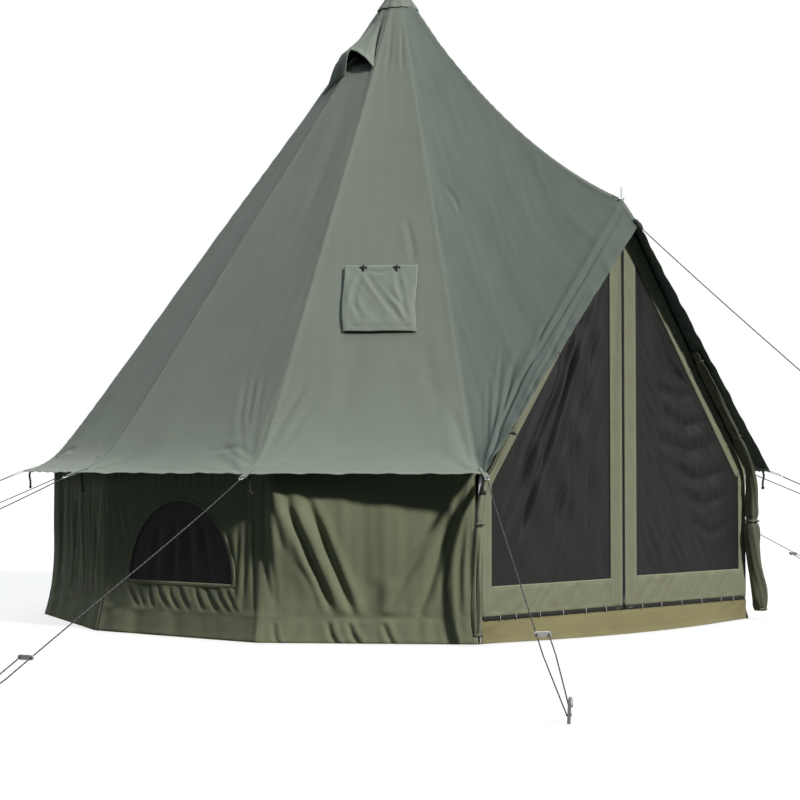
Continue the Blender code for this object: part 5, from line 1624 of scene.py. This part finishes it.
class BELLTENT_OT_stove(bpy.types.Operator):
    """Makes the stove flap with its toggles and loops, and the heat-proof sheet under it"""

    bl_idname = "bell_tent.stove"
    bl_label = "Stove flap"

    WIDE, TALL = 0.280, 0.317
    HEAT_WIDE, HEAT_TALL = 0.235, 0.250
    # Folds as (line across and down the flap, width, depth)
    FOLDS = [
        ([(-0.064, 0.02), (-0.02, 0.10), (0.05, 0.21), (0.10, 0.28)], 0.010, 0.0040),
        ([(0.064, 0.02), (0.08, 0.12), (0.11, 0.24)], 0.009, 0.0035),
        ([(-0.064, 0.02), (-0.09, 0.12), (-0.10, 0.22)], 0.010, 0.0030),
        ([(-0.11, 0.12), (-0.085, 0.20), (-0.055, 0.28)], 0.009, 0.0026),
        ([(0.055, 0.02), (0.0, 0.035), (-0.055, 0.02)], 0.010, 0.0030),
        ([(0.05, 0.14), (0.09, 0.20), (0.12, 0.27)], 0.008, 0.0030),
    ]

    def execute(self, context):
        face = GoreFace(-45, 1.144)
        self.flap(face)
        self.trims(face)
        self.heat_sheet(face)
        return {"FINISHED"}

    def flap(self, face):
        u, v = shares(61, 67, -0.5, 0.5)
        x, y = u * self.WIDE, v * self.TALL
        x = x * (1 - 0.015 * v) + 0.010 * v * np.abs(2 * u) + 0.004 * np.sin(6 * v + 1) * np.abs(2 * u) ** 6
        soft = swells(x, y, 21, 0.10, 1.0, 0.0016)
        for line, width, depth in self.FOLDS:
            soft = soft + fold(x, y, line, width, depth, 0.2, 0.1, 0.8)
        edge = np.minimum((0.5 - np.abs(u)) * self.WIDE, np.minimum(v, 1 - v) * 0.305)
        curl = 0.0025 * np.abs(np.sin(5.5 * u + 0.6)) - 0.0070
        rise = np.maximum(0.0080 + 1.25 * soft * step_up(edge, 0.0, 0.03), 0.0064)
        rise = rise + curl * step_up(v, 0.87, 1.0)
        rise = rise - 0.0040 * step_up(np.abs(u), 0.43, 0.5) * step_up(v, 0.15, 0.4)
        rise = rise + 0.0009 * (1 - step_up(edge, 0.0135, 0.0155))
        maps = cloth_maps(x, y, edge, x + y, edge + 0.02)
        flap = sheet_piece("stove_flap_canvas", face.spots(x, y, rise), maps, "Roof canvas", "stove_flap",
                           "canvas", ["stove_flap"], face.out, 0.0010)

    def trims(self, face):
        """The toggles on the flap and the loops that go over them."""
        toggles, loops = [], []
        for offset in (-0.064, 0.064):
            line = [face.spots(offset + shift, 0.012, 0.0125)
                    for shift in (-0.015, -0.013, -0.004, 0.004, 0.013, 0.015)]
            toggles.append(pipe_mesh("toggle", line, [0.002, 0.0042, 0.0034, 0.0034, 0.0042, 0.002], 10))
            loop = [face.spots(offset, down, rise)
                    for down, rise in ((-0.004, 0.0085), (0.006, 0.0165), (0.018, 0.0165), (0.032, 0.0095))]
            loops.append(ribbon("loop", read_line(loop, 20), face.across, 0.007, face.out, 0.0004))
        joined_piece("stove_toggles", toggles, "Black plastic", "stove_flap", "runner")
        thicken(joined_piece("stove_loops", loops, "Webbing", "stove_flap", "canvas"), 0.0010)

    def heat_sheet(self, face):
        u, v = shares(31, 33, -0.5, 0.5)
        x, y = u * self.HEAT_WIDE, 0.02 + v * self.HEAT_TALL
        edge = np.minimum((0.5 - np.abs(u)) * self.HEAT_WIDE, np.minimum(v, 1 - v) * self.HEAT_TALL)
        ring = bell(np.hypot(x, y - 0.145) - 0.055, 0.003)
        rise = 0.0036 + 0.0010 * (1 - step_up(edge, 0.013, 0.015)) + 0.0008 * ring
        maps = cloth_maps(x, y, edge, x + y, edge + 0.02)
        jack = sheet_piece("stove_sheet", face.spots(x, y, rise), maps, "Heat cloth", "tent",
                           "silicone", ["stove_jack"], face.out, 0.0010)


def eave_anchor(angle):
    """Just past the end of a corner's eyelet tab."""
    slope = (SEAM[4][1] - EAVE_HEIGHT) / (EAVE_RADIUS - SEAM[4][0])
    reach = TAB_LENGTH * math.cos(math.atan(slope)) + RING_GAP
    return around(angle, EAVE_RADIUS + reach, EAVE_HEIGHT - slope * reach)


class BELLTENT_OT_corners(bpy.types.Operator):
    """Makes the eave corners: webbing tab with its ring, and the hanging wall tie"""

    bl_idname = "bell_tent.corners"
    bl_label = "Eave corners"

    def execute(self, context):
        webbing, rings, ties = [], [], []
        for number in range(1, SIDES):
            tab, ring, strap, end = self.corner(number)
            webbing.append(tab)
            rings.append(ring)
            ties += [strap, end]
        thicken(joined_piece("eave_tabs", webbing, "Roof canvas", "tent", "canvas"), 0.0012)
        joined_piece("eave_rings", rings, "Steel", "tent", "steel")
        joined_piece("wall_ties", ties, "Webbing", "tent", "canvas")
        self.hood_end()
        return {"FINISHED"}

    def corner(self, number):
        """The tab, ring, tie and tie's end of one corner."""
        angle = number * STEP
        across = np.array([math.cos(angle), math.sin(angle), 0.0])
        ring_centre = eave_anchor(angle)
        radius, height = seam_line(np.linspace(8.1, 9.0, 14))
        path = around(angle, radius, height)
        slant = unit(path[-1] - path[-4])
        up = np.cross(slant, across)
        up = up if up[2] > 0 else -up
        back = ring_centre - slant * 0.006
        bend = [back + up * 0.0046, ring_centre + up * 0.0012, back - up * 0.0020]
        path = np.concatenate([path + up * 0.0042, bend, path[::-1][:5] - up * 0.0020])
        turn = np.linspace(0, 2 * np.pi, 29)[:, None]
        loop = ring_centre + slant * 0.006 + (slant * np.cos(turn) + across * np.sin(turn)) * 0.0085
        start = around(angle, EAVE_RADIUS - 0.030, EAVE_HEIGHT + 0.004)
        sway = 0.004 * math.sin(3.1 * number)
        away = around(angle, 0.004, 0.0)
        hang = read_line([start, start + away - (0, 0, 0.020), start + across * sway * 0.5 - (0, 0, 0.045),
                          start + across * sway - (0, 0, 0.068)], 18)
        end = [hang[-1] - across * 0.010, hang[-1] + across * 0.010]
        return (ribbon("tab", path, across, 0.020, up, 0.0004, 6),
                pipe_mesh("ring", loop, 0.0016, 8, closed=True),
                pipe_mesh("tie", hang, 0.0042, 8), pipe_mesh("end", end, 0.0060, 8))

    def hood_end(self):
        """The loop at the tip of the door's hood, and the eyelet round the frame's spigot."""
        tip = np.array([0.0, -HOOD_TIP[0], HOOD_TIP[1]])
        bends = [(0.015, 0.0235), (0.006, 0.014), (-0.004, 0.005),
                 (-0.012, -0.010), (-0.004, -0.014), (0.012, 0.006)]
        path = read_line([tip + (0, back, up) for back, up in bends], 30)
        loop = piece("hood_loop", ribbon("hood_loop", path, (1, 0, 0), 0.022, (0, -0.6, 0.8), 0.0004, 6),
                     finish("Webbing"), "tent", "canvas")
        thicken(loop, 0.0012)
        turn = np.linspace(0, 2 * np.pi, 33)
        x = 0.0095 * np.cos(turn)
        eyelet = np.stack([x, DOOR_Y + 0.0085 * np.sin(turn), PEAK_HEIGHT + 0.0045 - 0.45 * np.abs(x)], -1)
        piece("ridge_eyelet", pipe_mesh("ridge_eyelet", eyelet, 0.0024, 8, closed=True), finish("Steel"),
              "tent", "steel")


# Guy ropes


def level_side(along):
    return unit(np.cross(along, (0, 0, 1)))


def guy_route(anchor, peg, share, side):
    """The rope's points: down to the runner, round the peg, and back up to its knot above the runner."""
    line_end = np.array([*peg, TIE_HEIGHT])
    across = level_side(line_end - anchor) * side
    line_end = line_end - across * STRAND_SPACING / 2
    length = np.linalg.norm(line_end - anchor)
    along = (line_end - anchor) / length
    held = anchor + along * (length * share)
    rest = length * (1 - share)
    middle = STRAND_SPACING / 2
    centre = line_end + across * middle
    turn = PEG_RADIUS + 0.0012
    straight = (RUNNER_TRAVEL + RUNNER_ROOM) / rest
    down = [(0.0, middle), (straight, middle), ((1 + straight) / 2, (middle + turn) / 2), (0.97, turn)]
    points = [anchor]
    for t in np.linspace(0.04, 0.96, 24):
        sag = 0.032 * length * share * t * (1 - t) ** 2
        points.append(anchor + (held - anchor) * t - (0, 0, sag))
    points += [held + along * (rest * t) + across * (middle - half) for t, half in down]
    for angle in np.linspace(0.2, math.pi - 0.2, 7):
        points.append(centre + along * turn * math.sin(angle) - across * turn * math.cos(angle))
    points += [held + along * (rest * t) + across * (middle + half) for t, half in reversed(down)]
    points.append(held + across * STRAND_SPACING - along * 0.0135)
    return np.array(points), held + across * middle, along, across


def knot_mesh(name, centre, along, across, size, thickness):
    """A small overhand knot: a three-lobed turn of rope."""
    up = np.cross(along, across)
    turn = np.linspace(0, 2 * np.pi, 61)
    u = (np.sin(turn) + 2 * np.sin(2 * turn)) / 3
    v = (np.cos(turn) - 2 * np.cos(2 * turn)) / 3
    w = -np.sin(3 * turn) / 3
    path = centre + (along * u[:, None] + across * v[:, None] * 0.8 + up * w[:, None] * 0.9) * size
    return pipe_mesh(name, path, thickness, 8, closed=True)


class BELLTENT_OT_ropes(bpy.types.Operator):
    """Makes the guy ropes with their knots, steel pegs and runners' cord"""

    bl_idname = "bell_tent.ropes"
    bl_label = "Guy ropes"

    # A peg's line, out from the tent and up
    PEG_LINE = [(0.0, 0.0), (0.001, 0.010), (0.005, 0.026), (0.010, 0.042), (0.014, 0.055), (0.018, 0.062),
                (0.024, 0.0645), (0.030, 0.062), (0.034, 0.056), (0.0365, 0.050), (0.037, 0.045)]

    def execute(self, context):
        for name, (degrees, peg, share, side) in GUYS.items():
            angle = math.radians(degrees)
            anchor = eave_anchor(angle)
            if name == "front":
                anchor = np.array([0.0, -HOOD_TIP[0] - 0.012, HOOD_TIP[1] - 0.012])
            points, centre, along, across = guy_route(anchor, peg, share, side)
            low = knot_mesh("low", points[-1] + along * 0.004, along, across, 0.0050, 0.0016)
            self.rope(name, points, along, across, low)
            self.peg(name, peg, along)
            self.runner_knot(name, centre, along, across)
        self.short_rope()
        return {"FINISHED"}

    def rope(self, name, points, along, across, low_knot):
        """A rope with a knot at its tab and one at its free end."""
        anchor = points[0]
        tube = pipe_mesh(f"rope_{name}", points, ROPE_RADIUS, 8)
        rope = piece(f"rope_{name}", tube, finish("Rope"), "tent", "rope", [f"guy_rope_{name}"])
        top_knot = knot_mesh("top", anchor + along * 0.008, along, across, 0.0050, 0.0016)
        knots = joined_piece(f"knots_{name}", [top_knot, low_knot], "Cord", "tent", "rope")

    def peg(self, name, peg, along):
        away = unit(np.array([along[0], along[1], 0.0]))
        foot = np.array([*peg, 0.0006])
        path = read_line([foot + away * out + (0, 0, rise) for out, rise in self.PEG_LINE], 40)
        radii = np.full(40, PEG_RADIUS)
        radii[-2:] = [0.0040, 0.0028]
        data = pipe_mesh(f"peg_{name}", path, radii, 12)
        piece(f"peg_{name}", data, finish("Peg steel"), "tent", "steel")

    def runner_knot(self, name, centre, along, across):
        """The dark knot that the rope's end makes against the runner."""
        spot = centre - along * 0.006 + across * 0.017
        knot = knot_mesh(f"runner_knot_{name}", spot, along, across, 0.0055, 0.0018)
        piece(f"runner_knot_{name}", knot, finish("Cord"), f"guy_runner_{name}", "rope")

    def short_rope(self):
        """The rope behind the left corner, whose free end is tied in a small eye."""
        fall, reach = 0.385, 0.50
        angle = math.radians(-150)
        anchor = eave_anchor(angle)
        along = unit(around(angle, 1.0, -fall))
        across = level_side(along)
        length = reach * math.hypot(1.0, fall)
        points = [anchor + along * (length * t) for t in np.linspace(0, 0.97, 14)]
        eye = anchor + along * length
        for turn in np.linspace(0.1, math.pi - 0.1, 9):
            points.append(eye + along * 0.012 * math.sin(turn) + across * 0.0065 * (1 - math.cos(turn)))
        tail = eye + across * 0.013
        points += [tail - along * 0.012, tail - along * 0.026, tail - along * 0.041]
        low = knot_mesh("low", tail - along * 0.034, along, across, 0.0060, 0.0018)
        self.rope("left_150", np.array(points), along, across, low)


# Panel and start-up


class BELLTENT_PT_panel(bpy.types.Panel):
    """The tent's settings and the steps that build it"""

    bl_idname = "BELLTENT_PT_panel"
    bl_label = "Bell Tent"
    bl_space_type = "VIEW_3D"
    bl_region_type = "UI"
    bl_category = "Bell Tent"

    def draw(self, context):
        scene = context.scene
        for group in (scene.bell_tent_sizes, scene.bell_tent_colours, scene.bell_tent_stage):
            box = self.layout.box()
            for field in group.__annotations__:
                box.prop(group, field)
        for step in STEPS:
            self.layout.operator(step.bl_idname)


STEPS = (
    BELLTENT_OT_stage,
    BELLTENT_OT_finishes,
    BELLTENT_OT_roof,
    BELLTENT_OT_walls,
    BELLTENT_OT_ground,
    BELLTENT_OT_door,
    BELLTENT_OT_rolled_doors,
    BELLTENT_OT_vent,
    BELLTENT_OT_stove,
    BELLTENT_OT_corners,
    BELLTENT_OT_ropes,
)
CLASSES = (TentSizes, TentColours, TentStage, *STEPS, BELLTENT_PT_panel)


def register():
    for item in CLASSES:
        bpy.utils.register_class(item)
    bpy.types.Scene.bell_tent_sizes = bpy.props.PointerProperty(type=TentSizes)
    bpy.types.Scene.bell_tent_colours = bpy.props.PointerProperty(type=TentColours)
    bpy.types.Scene.bell_tent_stage = bpy.props.PointerProperty(type=TentStage)


def unregister():
    del bpy.types.Scene.bell_tent_sizes
    del bpy.types.Scene.bell_tent_colours
    del bpy.types.Scene.bell_tent_stage
    for item in reversed(CLASSES):
        bpy.utils.unregister_class(item)


def main():
    register()
    for step in STEPS:
        name = step.bl_idname.split(".")[1]
        getattr(bpy.ops.bell_tent, name)()


if __name__ == "__main__":
    main()
